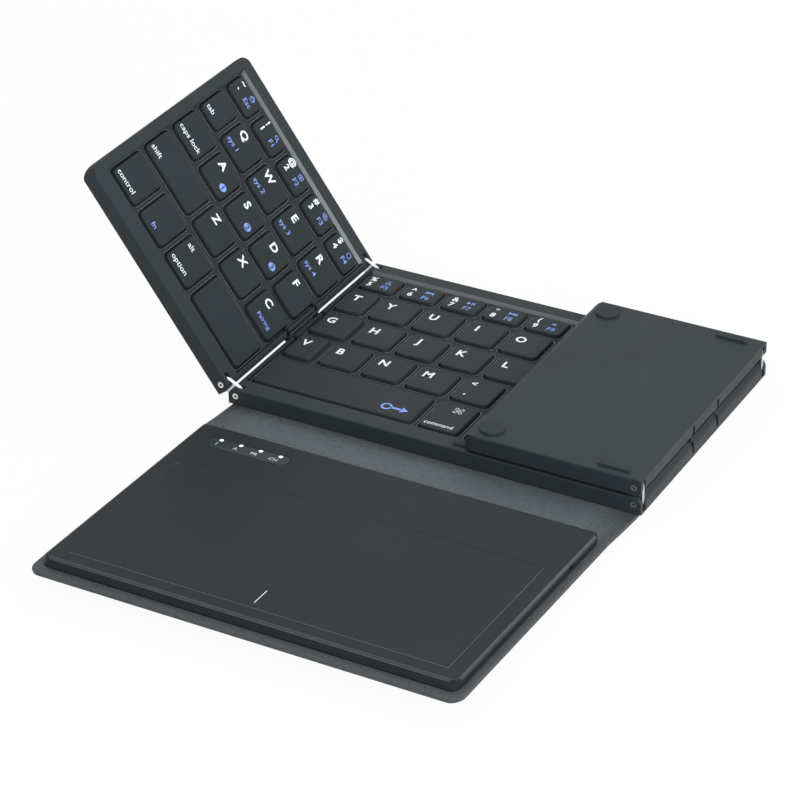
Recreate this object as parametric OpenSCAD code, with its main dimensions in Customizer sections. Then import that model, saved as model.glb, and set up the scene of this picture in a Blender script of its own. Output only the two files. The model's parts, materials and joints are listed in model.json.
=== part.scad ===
// Folding keyboard with a touchpad flap. The middle panel lies on its cover at z = 0,
// +X runs to the right hinge, +Y to the back, +Z up. All lengths are in millimetres.

/* [Panels] */
// Width of the middle panel
mid_w = 152; // [148:1:160]
// Depth of all three panels
panel_d = 98.6; // [97:0.2:104]
// Thickness of each panel casing
panel_t = 6; // [6:0.1:7]
// Length of the left wing from its hinge end to its free end
left_len = 87.5; // [82:0.5:90]
// Radius of the free end towards the wing's back face
end_r = 4; // [2:0.5:5]
// Radius of the free end's corners seen from above
corner_r = 4.5; // [2:0.5:6]
// Rounding of the casings' long edges
edge_r = 0.5; // [0.3:0.1:0.8]

/* [Hinges] */
// Height of the hinge pins above a casing's back face
pin_h = 3.3; // [3.2:0.1:3.6]
// Radius of the hinge pins
pin_r = 1.1; // [0.8:0.1:1.3]
// Gap between two panels, both when they lie flat and when they are folded
fold_gap = 0.9; // [0.6:0.1:1.4]
// Thickness of a link plate
link_t = 1.4; // [1:0.1:1.8]
// Distance of a link plate's middle from the casing's front or back face
link_inset = 2.5; // [2.3:0.1:2.7]
// Length of the cable bridge
bridge_w = 20; // [14:1:26]

/* [Keys] */
// Gap between two keys
key_gap = 2.4; // [2:0.1:2.8]
// Casing in front of the keys
front_border = 8; // [6:0.2:9]
// Casing behind the keys
back_border = 7.4; // [6:0.2:9]
// Depth of the keys in the front row
space_d = 17.7; // [16:0.1:18]
// Depth of the number keys
number_d = 10.6; // [9.6:0.1:11]
// Width of a letter key
letter_w = 14.55; // [13.6:0.05:14.8]
// Width of the middle panel's space bar
space_w = 61.2; // [56:0.2:63]
// Width of the left wing's space bar
left_space_w = 29; // [26:0.5:31]
// Radius of a key's corners
key_r = 2; // [1:0.1:2.4]
// How far a key goes down
travel = 1.2; // [0.8:0.1:1.3]
// How deep the key field lies below a casing's top
pocket_h = 1.1; // [0.8:0.1:1.2]

/* [Cover] */
// Thickness of the cover
leather_t = 1.4; // [1:0.1:1.8]
// Width of the cover
leather_w = 150; // [146:1:152]
// Width of the cover's margin in front of the flap's housing
front_margin = 4.9; // [3:0.1:6]

/* [Touchpad flap] */
// Width of the flap's housing
flap_w = 144.4; // [142:0.2:146]
// Depth of the flap's housing
flap_d = 94; // [92:1:95]
// Height of the flap's housing
flap_h = 3.2; // [3.2:0.1:4]
// Radius of the housing's corners
flap_r = 3; // [2:0.5:5]
// Housing rim on each side of the touchpad
pad_side = 5.95; // [5:0.05:9]
// Depth of the bar behind the touchpad
bar_d = 26.5; // [24:0.5:30]
// Housing rim in front of the touchpad
pad_rim = 5.5; // [4.5:0.5:7]
// Width of the window over the status lights
window_w = 30.7; // [28:0.1:34]

/* [Rest position] */
// Angle by which the left wing is raised
left_fold = 55; // [0:5:150]
// Angle by which the right wing is folded over
right_fold = 180; // [120:5:180]
// Slope of the spine up to the flap
spine_lift = 5.6; // [0:0.2:8]
// Slope of the flap itself
flap_lift = 2; // [0:0.2:6]

/* [Hidden] */
$fn = 48;

shell_color = [0.29, 0.31, 0.33];
key_color = [0.25, 0.27, 0.28];
leather_color = [0.33, 0.35, 0.36];
dark_color = [0.12, 0.13, 0.14];
metal_color = [0.8, 0.81, 0.83];
board_color = [0.1, 0.35, 0.2];
rubber_color = [0.09, 0.09, 0.1];
dome_color = [0.75, 0.75, 0.72];
foil_color = [0.85, 0.6, 0.25];
light_color = [0.85, 0.95, 1];

// Hinge geometry: each casing end is round about its pin
knuckle_r = panel_t - pin_h;
pin_x = mid_w / 2 - knuckle_r;
pin_gap = 2 * knuckle_r + fold_gap;
link_r = knuckle_r - 0.3;
link_y = panel_d / 2 - link_inset;
slot_clear = 0.15;
slot_reach = link_r + 0.25;
fit_clear = 0.05;
pin_len = 2 * link_inset - 0.6;
closing_gap = 0.5;
right_len = mid_w - left_len - closing_gap;

// The bridge is a web in the gap between two casings, with a cheek at each end that turns on
// trunnions. It reaches bridge_lip past the pins and to their key side, so that keys pass it
bridge_lip = 0.4;
bridge_clear = 0.25;
bridge_reach = bridge_lip * sqrt(2) + 0.2;
bridge_r = 1.75;
cheek_t = 1;
cheek_y = (bridge_w - cheek_t) / 2;
web_clear = 0.2;
web_x = [pin_gap / 2 - fold_gap / 2 + web_clear, pin_gap / 2 + fold_gap / 2 - web_clear];
cap_end = 2.2;
trunnion_r = 0.45;
trunnion_len = 1.4;
flex_w = 12;
flex_t = 0.3;
flex_z = -0.95;
flex_clear = 0.2;
flex_end = 0.05;

// Layers inside a casing, from its back face up
floor_t = 1.2;
board_t = 0.6;
sheet_t = 0.2;
cap_top_t = 0.9;
cap_wall_t = 1;
cap_h = panel_t - floor_t - board_t - sheet_t - travel - 0.1;
deck_t = 1;
deck_z = panel_t - pocket_h - deck_t;
ledge_w = 0.8;
board_clear = 0.3;
dome_h = panel_t - cap_top_t - travel - 0.1 - floor_t - board_t - sheet_t;

// Key field: rows are numbered from the back, and widths go outwards from the hinge
key_clear = 0.3;
side_rim = 1;
front_rim = 1.2;
back_rim = 2;
mid_key_x = pin_x - 1;
wing_key_x = 1;
left_rim = 5.1;
right_rim = 3.1;
key_front = -panel_d / 2 + front_border;
key_back = panel_d / 2 - back_border;
letter_d = (key_back - key_front - space_d - number_d - 4 * key_gap) / 3;
row_y = [key_front + space_d + 3 * (letter_d + key_gap) + key_gap,
         key_front + space_d + 2 * (letter_d + key_gap) + key_gap,
         key_front + space_d + (letter_d + key_gap) + key_gap,
         key_front + space_d + key_gap,
         key_front];
row_d = [number_d, letter_d, letter_d, letter_d, space_d];
stub_w = 11.2;
command_w = 14.7;
caps_key_w = 13.6;
option_w = 14;

// Widths of n equal keys that fill a span, and a row closed by one key that fills the rest
function equal(span, n) = [for (i = [1:n]) (span - (n - 1) * key_gap) / n];
function total(list, n) = n == 0 ? 0 : list[n - 1] + total(list, n - 1);
function fill(span, list) = concat(list, [span - total(list, len(list)) - len(list) * key_gap]);
// Keys of one row as [x, y, width, depth]
function row(x, widths, n) = [for (i = [0:len(widths) - 1])
    [x + total(widths, i) + i * key_gap, row_y[n], widths[i], row_d[n]]];

mid_span = 2 * mid_key_x;
arrow_w = equal(mid_span - space_w - command_w - 2 * key_gap, 4);
mid_widths = [equal(mid_span, 9),
              fill(mid_span, [stub_w, for (i = [1:7]) letter_w]),
              fill(mid_span, [for (i = [1:7]) letter_w]),
              fill(mid_span, [stub_w, for (i = [1:6]) letter_w])];
arrow_gap = 1.4;
arrow_d = (space_d - arrow_gap) / 2;
front_row = row(-mid_key_x, concat([space_w, command_w], arrow_w), 4);
half_keys = [for (i = [0, 1])
    [front_row[4][0], key_front + i * (arrow_d + arrow_gap), arrow_w[2], arrow_d]];
mid_rows = concat([for (n = [0:3]) row(-mid_key_x, mid_widths[n], n)],
                  [concat([for (i = [1, 2, 3, 5]) front_row[i]], half_keys)]);
mid_space_key = front_row[0];

left_end = left_len - knuckle_r;
left_span = left_end - left_rim - wing_key_x;
left_widths = [equal(left_span, 5),
               fill(left_span, [for (i = [1:4]) letter_w]),
               fill(left_span, [for (i = [1:4]) caps_key_w]),
               fill(left_span, [for (i = [1:3]) letter_w]),
               fill(left_span, [left_space_w, option_w, option_w])];
left_all = [for (n = [0:4]) row(wing_key_x, left_widths[n], n)];
left_rows = concat([for (n = [0:3]) left_all[n]], [[for (i = [1:3]) left_all[4][i]]]);
left_space_key = left_all[4][0];

right_end = right_len - knuckle_r;
right_span = right_end - right_rim - wing_key_x;
right_rows = [for (n = [0:4]) row(wing_key_x, equal(right_span, 4), n)];

function flatten(rows) = [for (r = rows) for (k = r) k];
mid_keys = concat(flatten(mid_rows), [mid_space_key]);
left_keys = concat(flatten(left_rows), [left_space_key]);
right_keys = flatten(right_rows);

// Feet on the wings' back faces; open wings sink a little past level until they stand on them
feet_h = 0.8;
foot_r = 4.1;
foot_end = 8;
foot_side = 6.7;
bar_l = 11.6;
bar_w = 2;
bar_u = 8.5;
bar_side = 3.8;
rest_w = 7.5;
rest_h = 0.6;
rest_inset = 4;
rest_x = left_len - mid_w / 2 - rest_inset;
rest_side = 3.6;

// Cover folds: the spine reaches over the two folded layers, their feet and the flap
lid_clear = 1.05;
fold_clear = 0.3;
fold_y = -panel_d / 2 - leather_t / 2 - fold_clear;
spine_len = leather_t + 2 * panel_t + fold_gap + feet_h + lid_clear + flap_h;
fold_margin = 0.8;
cover_r = 5;
flap_start = 1;
flap_reach = flap_start + flap_d + front_margin;

// Layers and places inside the flap's housing, v is the distance from its back edge
plate_t = 0.6;
battery_t = 1.5;
sensor_t = 0.4;
pad_t = flap_h - plate_t - battery_t - sensor_t;
rim_t = 1.5;
roof_t = 1;
bar_roof_z = flap_h - roof_t;
pad_ledge = 2;
bar_v = [3, bar_d - 2.5];
flap_edge_r = 1;
pad_w = flap_w - 2 * pad_side;
battery_side = 28.3;
battery_gap = 4;
cable_w = 10;
window_side = 7.1;
window_x = -flap_w / 2 + window_side;
window_v = 6.4;
window_d = 6;
window_t = 0.5;
led_v = 7.6;
led_pitch = 7.45;
led_inset = 4.3;
led_x = window_x + led_inset;
led_r = 0.45;
slot_v = 17.9;
slot_len = 4.2;
switch_len = 2.2;
usb_v = 12;
usb_w = 7.2;
usb_h = 1.6;
usb_d = 5;

// Rectangle with round corners
module round_rect(w, d, r) {
    translate([r, 0]) square([w - 2 * r, d]);
    translate([0, r]) square([w, d - 2 * r]);
    for (x = [r, w - r], y = [r, d - r]) translate([x, y]) circle(r = r);
}

// Rectangle with round corners at its top only
module arch(w, h, r) {
    square([w, h - r]);
    translate([r, 0]) square([w - 2 * r, h]);
    for (x = [r, w - r]) translate([x, h - r]) circle(r = r);
}

// Extrudes an X-Z outline along Y, centred on y = 0
module along_y(d) translate([0, d / 2, 0]) rotate([90, 0, 0]) linear_extrude(d) children();

// Extrudes a Y-Z outline along X from x = 0
module along_x(w) rotate([90, 0, 90]) linear_extrude(w) children();

// Puts a part drawn in a moving body's own frame in its place
module on_base() translate([0, 0, leather_t]) children();
module on_left_link() translate([-pin_x, 0, leather_t + pin_h])
    rotate([0, left_fold / 2, 0]) mirror([1, 0, 0]) children();
module on_left_wing() translate([-pin_x, 0, leather_t + pin_h]) rotate([0, left_fold / 2, 0])
    translate([-pin_gap, 0, 0]) rotate([0, left_fold / 2, 0]) mirror([1, 0, 0])
    translate([0, 0, -pin_h]) children();
module on_right_link() translate([pin_x, 0, leather_t + pin_h])
    rotate([0, -right_fold / 2, 0]) children();
module on_right_wing() translate([pin_x, 0, leather_t + pin_h]) rotate([0, -right_fold / 2, 0])
    translate([pin_gap, 0, 0]) rotate([0, -right_fold / 2, 0])
    translate([0, 0, -pin_h]) children();
module on_spine() translate([0, fold_y, leather_t / 2]) rotate([-spine_lift, 0, 0]) children();
module on_flap() on_spine() translate([0, -spine_len, 0])
    rotate([spine_lift - flap_lift, 0, 0]) children();
// Origin at the middle of the housing's back edge, on the cover; v runs along -Y
module in_housing() on_flap() translate([0, -flap_start, leather_t / 2]) children();
module v_box(x, v, z) translate([x[0], -v[1], z[0]])
    cube([x[1] - x[0], v[1] - v[0], z[1] - z[0]]);

// Block from x0 to x1, over a depth about y = 0, from z0 to z1
module mid_box(x, d, z) translate([x[0], -d / 2, z[0]]) cube([x[1] - x[0], d, z[1] - z[0]]);

// Room for the links and the bridge at a casing's end; the pin lies at x = 0 and the
// panel extends towards +X
module hinge_cuts() {
    for (s = [-1, 1]) translate([0, s * link_y, 0])
        mid_box([-2 * knuckle_r, slot_reach], link_t + 2 * slot_clear,
                [pin_h - slot_reach, panel_t + 1]);
    for (s = [-1, 1]) translate([0, s * cheek_y, 0])
        mid_box([-2 * knuckle_r, bridge_reach], cheek_t + 2 * bridge_clear,
                [pin_h - bridge_r - bridge_clear, panel_t + 1]);
    translate([0, 0, pin_h]) {
        for (s = [-1, 1]) rotate([90, 0, 0])
            translate([0, 0, s * (panel_d / 2 - pin_len / 2)])
            cylinder(r = pin_r, h = pin_len + 0.001, center = true);
        for (s = [-1, 1]) rotate([90, 0, 0]) translate([0, 0, s * bridge_w / 2])
            cylinder(r = trunnion_r + fit_clear, h = 2 * trunnion_len + 0.4, center = true);
    }
}

// Pins of one casing end, with a small dimple in the outer face
module end_pins() translate([0, 0, pin_h]) for (s = [-1, 1]) mirror([0, s < 0 ? 1 : 0, 0])
    translate([0, panel_d / 2, 0]) rotate([90, 0, 0]) difference() {
        cylinder(r = pin_r, h = pin_len);
        translate([0, 0, -0.1]) cylinder(r = pin_r * 0.4, h = 0.4, $fn = 24);
    }

// Key field between two x values: opening above the deck and a narrower one below it
module key_field(x) {
    y0 = key_front - front_rim;
    y1 = key_back + back_rim;
    translate([x[0], y0, deck_z]) cube([x[1] - x[0], y1 - y0, panel_t]);
    translate([x[0] + ledge_w, y0 + ledge_w, floor_t])
        cube([x[1] - x[0] - 2 * ledge_w, y1 - y0 - 2 * ledge_w, panel_t]);
}

// Plate that carries the keys, with an opening around each
module deck_plate(x, keys) {
    gap = 0.05;
    y0 = key_front - front_rim + gap;
    difference() {
        translate([x[0] + gap, y0, deck_z])
            cube([x[1] - x[0] - 2 * gap, key_back + back_rim - gap - y0, deck_t]);
        for (k = keys) translate([k[0] - key_clear, k[1] - key_clear, deck_z - 1])
            linear_extrude(deck_t + 2)
            round_rect(k[2] + 2 * key_clear, k[3] + 2 * key_clear, key_r + key_clear, $fn = 24);
    }
}

// Circuit board on the casing's floor
module board_plate(x) {
    inset = ledge_w + board_clear;
    y0 = key_front - front_rim + inset;
    translate([x[0] + inset, y0, floor_t])
        cube([x[1] - x[0] - 2 * inset, key_back + back_rim - inset - y0, board_t]);
}

// Rubber sheet with one dome under each key, drawn at the height it has under a pressed key
module dome_sheet(x, keys) {
    inset = ledge_w + board_clear;
    y0 = key_front - front_rim + inset;
    translate([x[0] + inset, y0, floor_t + board_t])
        cube([x[1] - x[0] - 2 * inset, key_back + back_rim - inset - y0, sheet_t]);
    for (k = keys) translate([k[0] + k[2] / 2, k[1] + k[3] / 2, floor_t + board_t + sheet_t / 2])
        cylinder(r1 = 2.5, r2 = 1.5, h = dome_h + sheet_t / 2, $fn = 24);
}

// Hollow key caps
module key_caps(keys) for (k = keys) translate([k[0], k[1], panel_t - cap_h]) difference() {
    linear_extrude(cap_h) round_rect(k[2], k[3], key_r, $fn = 24);
    translate([cap_wall_t, cap_wall_t, -1])
        linear_extrude(cap_h - cap_top_t + 1)
        round_rect(k[2] - 2 * cap_wall_t, k[3] - 2 * cap_wall_t, key_r / 2, $fn = 24);
}

// Casing of a wing from its pin to its free end, round towards its back face
module wing_body(u_end) intersection() {
    along_y(panel_d) union() {
        translate([-knuckle_r, 0]) square([u_end - end_r + knuckle_r, pin_h]);
        square([u_end - end_r, panel_t]);
        translate([0, pin_h]) circle(r = knuckle_r);
        intersection() {
            union() {
                translate([u_end - end_r, end_r]) circle(r = end_r);
                translate([u_end - end_r, end_r]) square([end_r, panel_t]);
            }
            translate([u_end - end_r - 1, 0]) square([end_r + 1, panel_t]);
        }
    }
    translate([-knuckle_r, 0, 0]) along_x(u_end + knuckle_r)
        translate([-panel_d / 2, 0]) round_rect(panel_d, panel_t, edge_r, $fn = 24);
    translate([-knuckle_r - corner_r, -panel_d / 2, -1]) linear_extrude(panel_t + 2)
        round_rect(u_end + knuckle_r + corner_r, panel_d, corner_r);
}
left_field = [wing_key_x - side_rim, left_end - left_rim + side_rim];
right_field = [wing_key_x - side_rim, right_end - right_rim + side_rim];
mid_field = [-mid_key_x - side_rim, mid_key_x + side_rim];

module wing_case(u_end, field) difference() {
    wing_body(u_end);
    key_field(field);
    hinge_cuts();
}
module wing_deck(field, keys) difference() {
    deck_plate(field, keys);
    hinge_cuts();
}

// Round feet near the free end and bars near the hinge, on the back face
module wing_feet(u_end) for (s = [-1, 1]) {
    translate([u_end - foot_end, s * (panel_d / 2 - foot_side), -feet_h])
        cylinder(r = foot_r, h = feet_h);
    translate([bar_u - bar_l / 2, s * (panel_d / 2 - bar_side) - bar_w / 2, -feet_h])
        linear_extrude(feet_h) round_rect(bar_l, bar_w, bar_w / 2 - 0.05, $fn = 24);
}

// Two link plates, from the casing's pin at x = 0 to the wing's pin at x = pin_gap
module link_plates() for (s = [-1, 1]) translate([0, s * link_y, 0]) difference() {
    along_y(link_t) union() {
        for (x = [0, pin_gap]) translate([x, 0]) circle(r = link_r);
        translate([0, -link_r]) square([pin_gap, 2 * link_r]);
    }
    for (x = [0, pin_gap]) translate([x, 0, 0]) rotate([90, 0, 0])
        cylinder(r = pin_r + fit_clear, h = link_t + 1, center = true);
}

// Bridge that carries the cable over the hinge on small trunnions
module bridge_body() {
    for (s = [-1, 1]) {
        translate([0, s * cheek_y, 0]) intersection() {
            along_y(cheek_t) union() {
                for (x = [0, pin_gap]) translate([x, 0]) circle(r = bridge_r);
                translate([0, -bridge_r]) square([pin_gap, 2 * bridge_r]);
            }
            mid_box([-bridge_lip, pin_gap + bridge_lip], cheek_t, [-bridge_r, bridge_lip]);
        }
        for (x = [0, pin_gap]) translate([x, s * (bridge_w + trunnion_len - cheek_t / 2) / 2, 0])
            rotate([90, 0, 0])
            cylinder(r = trunnion_r, h = trunnion_len + cheek_t / 2, center = true, $fn = 24);
    }
    difference() {
        mid_box(web_x, bridge_w - cheek_t, [-bridge_r, bridge_lip]);
        mid_box([0, pin_gap], flex_w + 1,
                [flex_z - flex_t / 2 - flex_clear, flex_z + flex_t / 2 + flex_clear]);
    }
}
// Strip that stands on the bridge and closes the gap between the casings
module bridge_cap() mid_box(web_x, bridge_w, [bridge_lip, cap_end]);
module flex_strip() mid_box([web_x[0] - web_clear + flex_end, web_x[1] + web_clear - flex_end],
                            flex_w, [flex_z - flex_t / 2, flex_z + flex_t / 2]);

module cover_base() color(leather_color) translate([-leather_w / 2, -panel_d / 2, 0])
    linear_extrude(leather_t) round_rect(leather_w, panel_d, 1, $fn = 24);
module cover_spine() color(leather_color) on_spine()
    v_box([-leather_w / 2, leather_w / 2], [fold_margin, spine_len - fold_margin],
          [-leather_t / 2, leather_t / 2]);
module cover_flap() color(leather_color) on_flap() intersection() {
    v_box([-leather_w / 2, leather_w / 2], [fold_margin, flap_reach],
          [-leather_t / 2, leather_t / 2]);
    translate([-leather_w / 2, -flap_reach, -leather_t])
        linear_extrude(2 * leather_t) round_rect(leather_w, flap_reach + cover_r, cover_r);
}

module mid_case() color(shell_color) on_base() difference() {
    intersection() {
        translate([-mid_w / 2, 0, 0]) along_y(panel_d) arch(mid_w, panel_t, knuckle_r);
        translate([-mid_w / 2, 0, 0]) along_x(mid_w)
            translate([-panel_d / 2, 0]) round_rect(panel_d, panel_t, edge_r, $fn = 24);
    }
    key_field(mid_field);
    for (s = [0, 1]) mirror([s, 0, 0]) translate([-pin_x, 0, 0]) hinge_cuts();
}
module mid_deck() color(shell_color) on_base() difference() {
    deck_plate(mid_field, mid_keys);
    for (s = [0, 1]) mirror([s, 0, 0]) translate([-pin_x, 0, 0]) hinge_cuts();
}
module mid_domes() color(dome_color) on_base() dome_sheet(mid_field, mid_keys);
module mid_board() color(board_color) on_base() board_plate(mid_field);
module mid_pins() color(metal_color) on_base()
    for (s = [0, 1]) mirror([s, 0, 0]) translate([-pin_x, 0, 0]) end_pins();
module mid_rest_pad() color(rubber_color) on_base()
    translate([rest_x, -panel_d / 2 + rest_side - bar_w / 2, panel_t])
    linear_extrude(rest_h) round_rect(rest_w, bar_w, bar_w / 2 - 0.05, $fn = 24);
module mid_row(n) color(key_color) on_base() key_caps(mid_rows[n]);
module mid_space_bar() color(key_color) on_base() key_caps([mid_space_key]);

module left_case() color(shell_color) on_left_wing() wing_case(left_end, left_field);
module left_deck() color(shell_color) on_left_wing() wing_deck(left_field, left_keys);
module left_domes() color(dome_color) on_left_wing() dome_sheet(left_field, left_keys);
module left_board() color(board_color) on_left_wing() board_plate(left_field);
module left_pins() color(metal_color) on_left_wing() end_pins();
module left_feet() color(rubber_color) on_left_wing() wing_feet(left_end);
module left_row(n) color(key_color) on_left_wing() key_caps(left_rows[n]);
module left_space_bar() color(key_color) on_left_wing() key_caps([left_space_key]);
module left_links() color(metal_color) on_left_link() link_plates();
module left_bridge() color(dark_color) on_left_link() bridge_body();
module left_bridge_cap() color(dark_color) on_left_link() bridge_cap();
module left_flex() color(foil_color) on_left_link() flex_strip();

module right_case() color(shell_color) on_right_wing() wing_case(right_end, right_field);
module right_deck() color(shell_color) on_right_wing() wing_deck(right_field, right_keys);
module right_domes() color(dome_color) on_right_wing()
    dome_sheet(right_field, right_keys);
module right_board() color(board_color) on_right_wing() board_plate(right_field);
module right_pins() color(metal_color) on_right_wing() end_pins();
module right_feet() color(rubber_color) on_right_wing() wing_feet(right_end);
module right_row(n) color(key_color) on_right_wing() key_caps(right_rows[n]);
module right_links() color(metal_color) on_right_link() link_plates();
module right_bridge() color(dark_color) on_right_link() bridge_body();
module right_bridge_cap() color(dark_color) on_right_link() bridge_cap();
module right_flex() color(foil_color) on_right_link() flex_strip();

// Housing of the flap: a bar with the electronics at the back, the touchpad in front
module flap_housing() color(shell_color) in_housing() difference() {
    intersection() {
        translate([-flap_w / 2, -flap_d, 0]) linear_extrude(flap_h)
            round_rect(flap_w, flap_d, flap_r);
        translate([-flap_w / 2, -flap_d / 2, 0]) along_y(flap_d) arch(flap_w, flap_h, flap_edge_r);
        translate([-flap_w / 2, -flap_d, 0]) along_x(flap_w) arch(flap_d, flap_h, flap_edge_r);
    }
    v_box([-flap_w / 2 + rim_t, flap_w / 2 - rim_t], [rim_t, flap_d - rim_t], [-1, plate_t]);
    v_box([-flap_w / 2 + 2 * rim_t, flap_w / 2 - 2 * rim_t], bar_v, [0, bar_roof_z]);
    v_box([-pad_w / 2 + pad_ledge, pad_w / 2 - pad_ledge],
          [bar_d + pad_ledge, flap_d - pad_rim - pad_ledge], [0, flap_h + 1]);
    v_box([-pad_w / 2, pad_w / 2], [bar_d, flap_d - pad_rim], [flap_h - pad_t, flap_h + 1]);
    v_box([-cable_w / 2, cable_w / 2], [bar_v[1] - 1, bar_d + pad_ledge + 1],
          [0, bar_roof_z - 0.6]);
    translate([window_x, -window_v - window_d, flap_h - window_t]) linear_extrude(1)
        round_rect(window_w, window_d, window_d / 2 - 0.05);
    for (i = [0:3]) translate([led_x + i * led_pitch, -led_v, 1])
        cylinder(r = led_r + 0.15, h = 2, $fn = 24);
    v_box([flap_w / 2 - 2 * rim_t - 1, flap_w / 2 + 1], [slot_v, slot_v + slot_len], [1.1, 2.1]);
    v_box([-flap_w / 2 - 1, -flap_w / 2 + 2 * rim_t + 1],
          [usb_v - usb_w / 2, usb_v + usb_w / 2], [plate_t, plate_t + usb_h]);
}
module flap_floor() color(dark_color) in_housing()
    v_box([-flap_w / 2 + rim_t + 0.05, flap_w / 2 - rim_t - 0.05],
          [rim_t + 0.05, flap_d - rim_t - 0.05], [0, plate_t]);
module touchpad() color(key_color) in_housing()
    v_box([-pad_w / 2 + 0.05, pad_w / 2 - 0.05],
          [bar_d + 0.05, flap_d - pad_rim - 0.05], [flap_h - pad_t, flap_h]);
module touch_sensor() color(board_color) in_housing()
    v_box([-pad_w / 2 + pad_ledge + 0.2, pad_w / 2 - pad_ledge - 0.2],
          [bar_d + pad_ledge + 0.2, flap_d - pad_rim - pad_ledge - 0.2],
          [flap_h - pad_t - sensor_t, flap_h - pad_t]);
module battery() color(metal_color) in_housing()
    v_box([-pad_w / 2 + battery_side, pad_w / 2 - battery_side],
          [bar_d + pad_ledge + battery_gap, flap_d - pad_rim - pad_ledge - battery_gap],
          [plate_t, plate_t + battery_t]);
module main_board() color(board_color) in_housing() difference() {
    v_box([-flap_w / 2 + 2 * rim_t + 0.4, flap_w / 2 - 2 * rim_t - 2],
          [bar_v[0] + 0.3, bar_v[1] - 0.3], [plate_t, plate_t + 0.5]);
    v_box([-flap_w / 2, -flap_w / 2 + usb_d + 0.2],
          [usb_v - usb_w / 2 - 0.2, usb_v + usb_w / 2 + 0.2], [0, 2]);
}
module led_window() color(dark_color) in_housing()
    translate([window_x + 0.05, -window_v - window_d + 0.05, flap_h - window_t])
    linear_extrude(window_t)
    round_rect(window_w - 0.1, window_d - 0.1, window_d / 2 - 0.1);
module status_lights() color(light_color) in_housing()
    for (i = [0:3]) translate([led_x + i * led_pitch, -led_v, plate_t + 0.5])
    cylinder(r = led_r, h = flap_h - window_t - plate_t - 0.5, $fn = 24);
module power_switch() color(dark_color) in_housing() {
    v_box([flap_w / 2 - 2 * rim_t - 0.2, flap_w / 2 + 0.25],
          [slot_v + 0.1, slot_v + 0.1 + switch_len], [1.2, 2]);
    v_box([flap_w / 2 - 2 * rim_t - 1.4, flap_w / 2 - 2 * rim_t - 0.2],
          [slot_v - 0.6, slot_v + 0.8 + switch_len], [1.2, 2]);
}
module usb_port() color(metal_color) in_housing() difference() {
    v_box([-flap_w / 2, -flap_w / 2 + usb_d],
          [usb_v - usb_w / 2 + 0.05, usb_v + usb_w / 2 - 0.05], [plate_t, plate_t + usb_h - 0.05]);
    v_box([-flap_w / 2 - 1, -flap_w / 2 + usb_d - 0.6],
          [usb_v - usb_w / 2 + 0.35, usb_v + usb_w / 2 - 0.35],
          [plate_t + 0.3, plate_t + usb_h - 0.35]);
}

cover_base();
cover_spine();
cover_flap();
mid_case();
mid_deck();
mid_domes();
mid_board();
mid_pins();
mid_rest_pad();
for (n = [0:4]) mid_row(n);
mid_space_bar();
left_case();
left_deck();
left_domes();
left_board();
left_pins();
left_feet();
for (n = [0:4]) left_row(n);
left_space_bar();
left_links();
left_bridge();
left_bridge_cap();
left_flex();
right_case();
right_deck();
right_domes();
right_board();
right_pins();
right_feet();
for (n = [0:4]) right_row(n);
right_links();
right_bridge();
right_bridge_cap();
right_flex();
flap_housing();
flap_floor();
touchpad();
touch_sensor();
main_board();
battery();
led_window();
status_lights();
power_switch();
usb_port();
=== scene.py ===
"""Dresses a folding keyboard: cover, casings, hinges, keys, legends and the touchpad flap."""

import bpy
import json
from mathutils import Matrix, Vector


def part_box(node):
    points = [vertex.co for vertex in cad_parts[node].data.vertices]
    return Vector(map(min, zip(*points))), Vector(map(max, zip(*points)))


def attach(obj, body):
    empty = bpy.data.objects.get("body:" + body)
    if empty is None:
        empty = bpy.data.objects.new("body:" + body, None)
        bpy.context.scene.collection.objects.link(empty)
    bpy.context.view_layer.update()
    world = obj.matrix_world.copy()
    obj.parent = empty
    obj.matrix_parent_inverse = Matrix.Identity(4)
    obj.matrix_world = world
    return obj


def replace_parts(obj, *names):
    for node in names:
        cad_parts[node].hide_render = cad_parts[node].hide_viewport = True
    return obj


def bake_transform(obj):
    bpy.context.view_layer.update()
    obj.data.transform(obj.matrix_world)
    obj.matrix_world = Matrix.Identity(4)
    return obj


bl_info = {
    "name": "Folding Keyboard Dresser",
    "version": (1, 0, 0),
    "blender": (4, 5, 0),
    "location": "View3D > Sidebar > Keyboard",
    "description": "Builds the visible surfaces of a folding keyboard on its fixed frame",
    "category": "Object",
}

import json
import math

import bpy
import numpy as np
from bpy.props import FloatProperty, FloatVectorProperty, PointerProperty
from mathutils import Matrix, Vector

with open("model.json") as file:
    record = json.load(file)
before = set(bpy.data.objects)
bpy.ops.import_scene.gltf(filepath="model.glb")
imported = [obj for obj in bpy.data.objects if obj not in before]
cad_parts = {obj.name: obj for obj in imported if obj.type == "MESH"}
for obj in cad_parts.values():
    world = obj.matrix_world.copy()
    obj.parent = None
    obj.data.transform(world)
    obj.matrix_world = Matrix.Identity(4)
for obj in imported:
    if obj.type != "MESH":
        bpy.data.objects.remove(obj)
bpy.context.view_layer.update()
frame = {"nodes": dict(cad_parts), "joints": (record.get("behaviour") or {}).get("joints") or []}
JOINTS = {joint["name"]: joint for joint in frame["joints"]}
MM = 0.001

# Heights that every panel shares, read from the middle casing and its left hinge
CASE_LOW, CASE_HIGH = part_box("mid_case")
LEATHER_T = CASE_LOW.z
PANEL_T = CASE_HIGH.z - CASE_LOW.z
PIN_H = JOINTS["left_link_hinge"]["pos_m"][2] - CASE_LOW.z
PIN_R = 1.1 * MM
HOUSING_CORNER, HOUSING_EDGE = 3 * MM, 1 * MM
# How far a thin skin and a flat mark stand off the surface that carries them
SKIN, MARK = 0.02 * MM, 0.03 * MM


# ---------------------------------------------------------------- frames

def axes_frame(origin, x, z):
    """Right-handed frame as a 4 x 4 array: x and z as given, y is z cross x."""
    x, z = np.array(x, float), np.array(z, float)
    place = np.eye(4)
    place[:3, 0], place[:3, 1], place[:3, 2] = x, np.cross(z, x), z
    place[:3, 3] = origin
    return place


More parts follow.
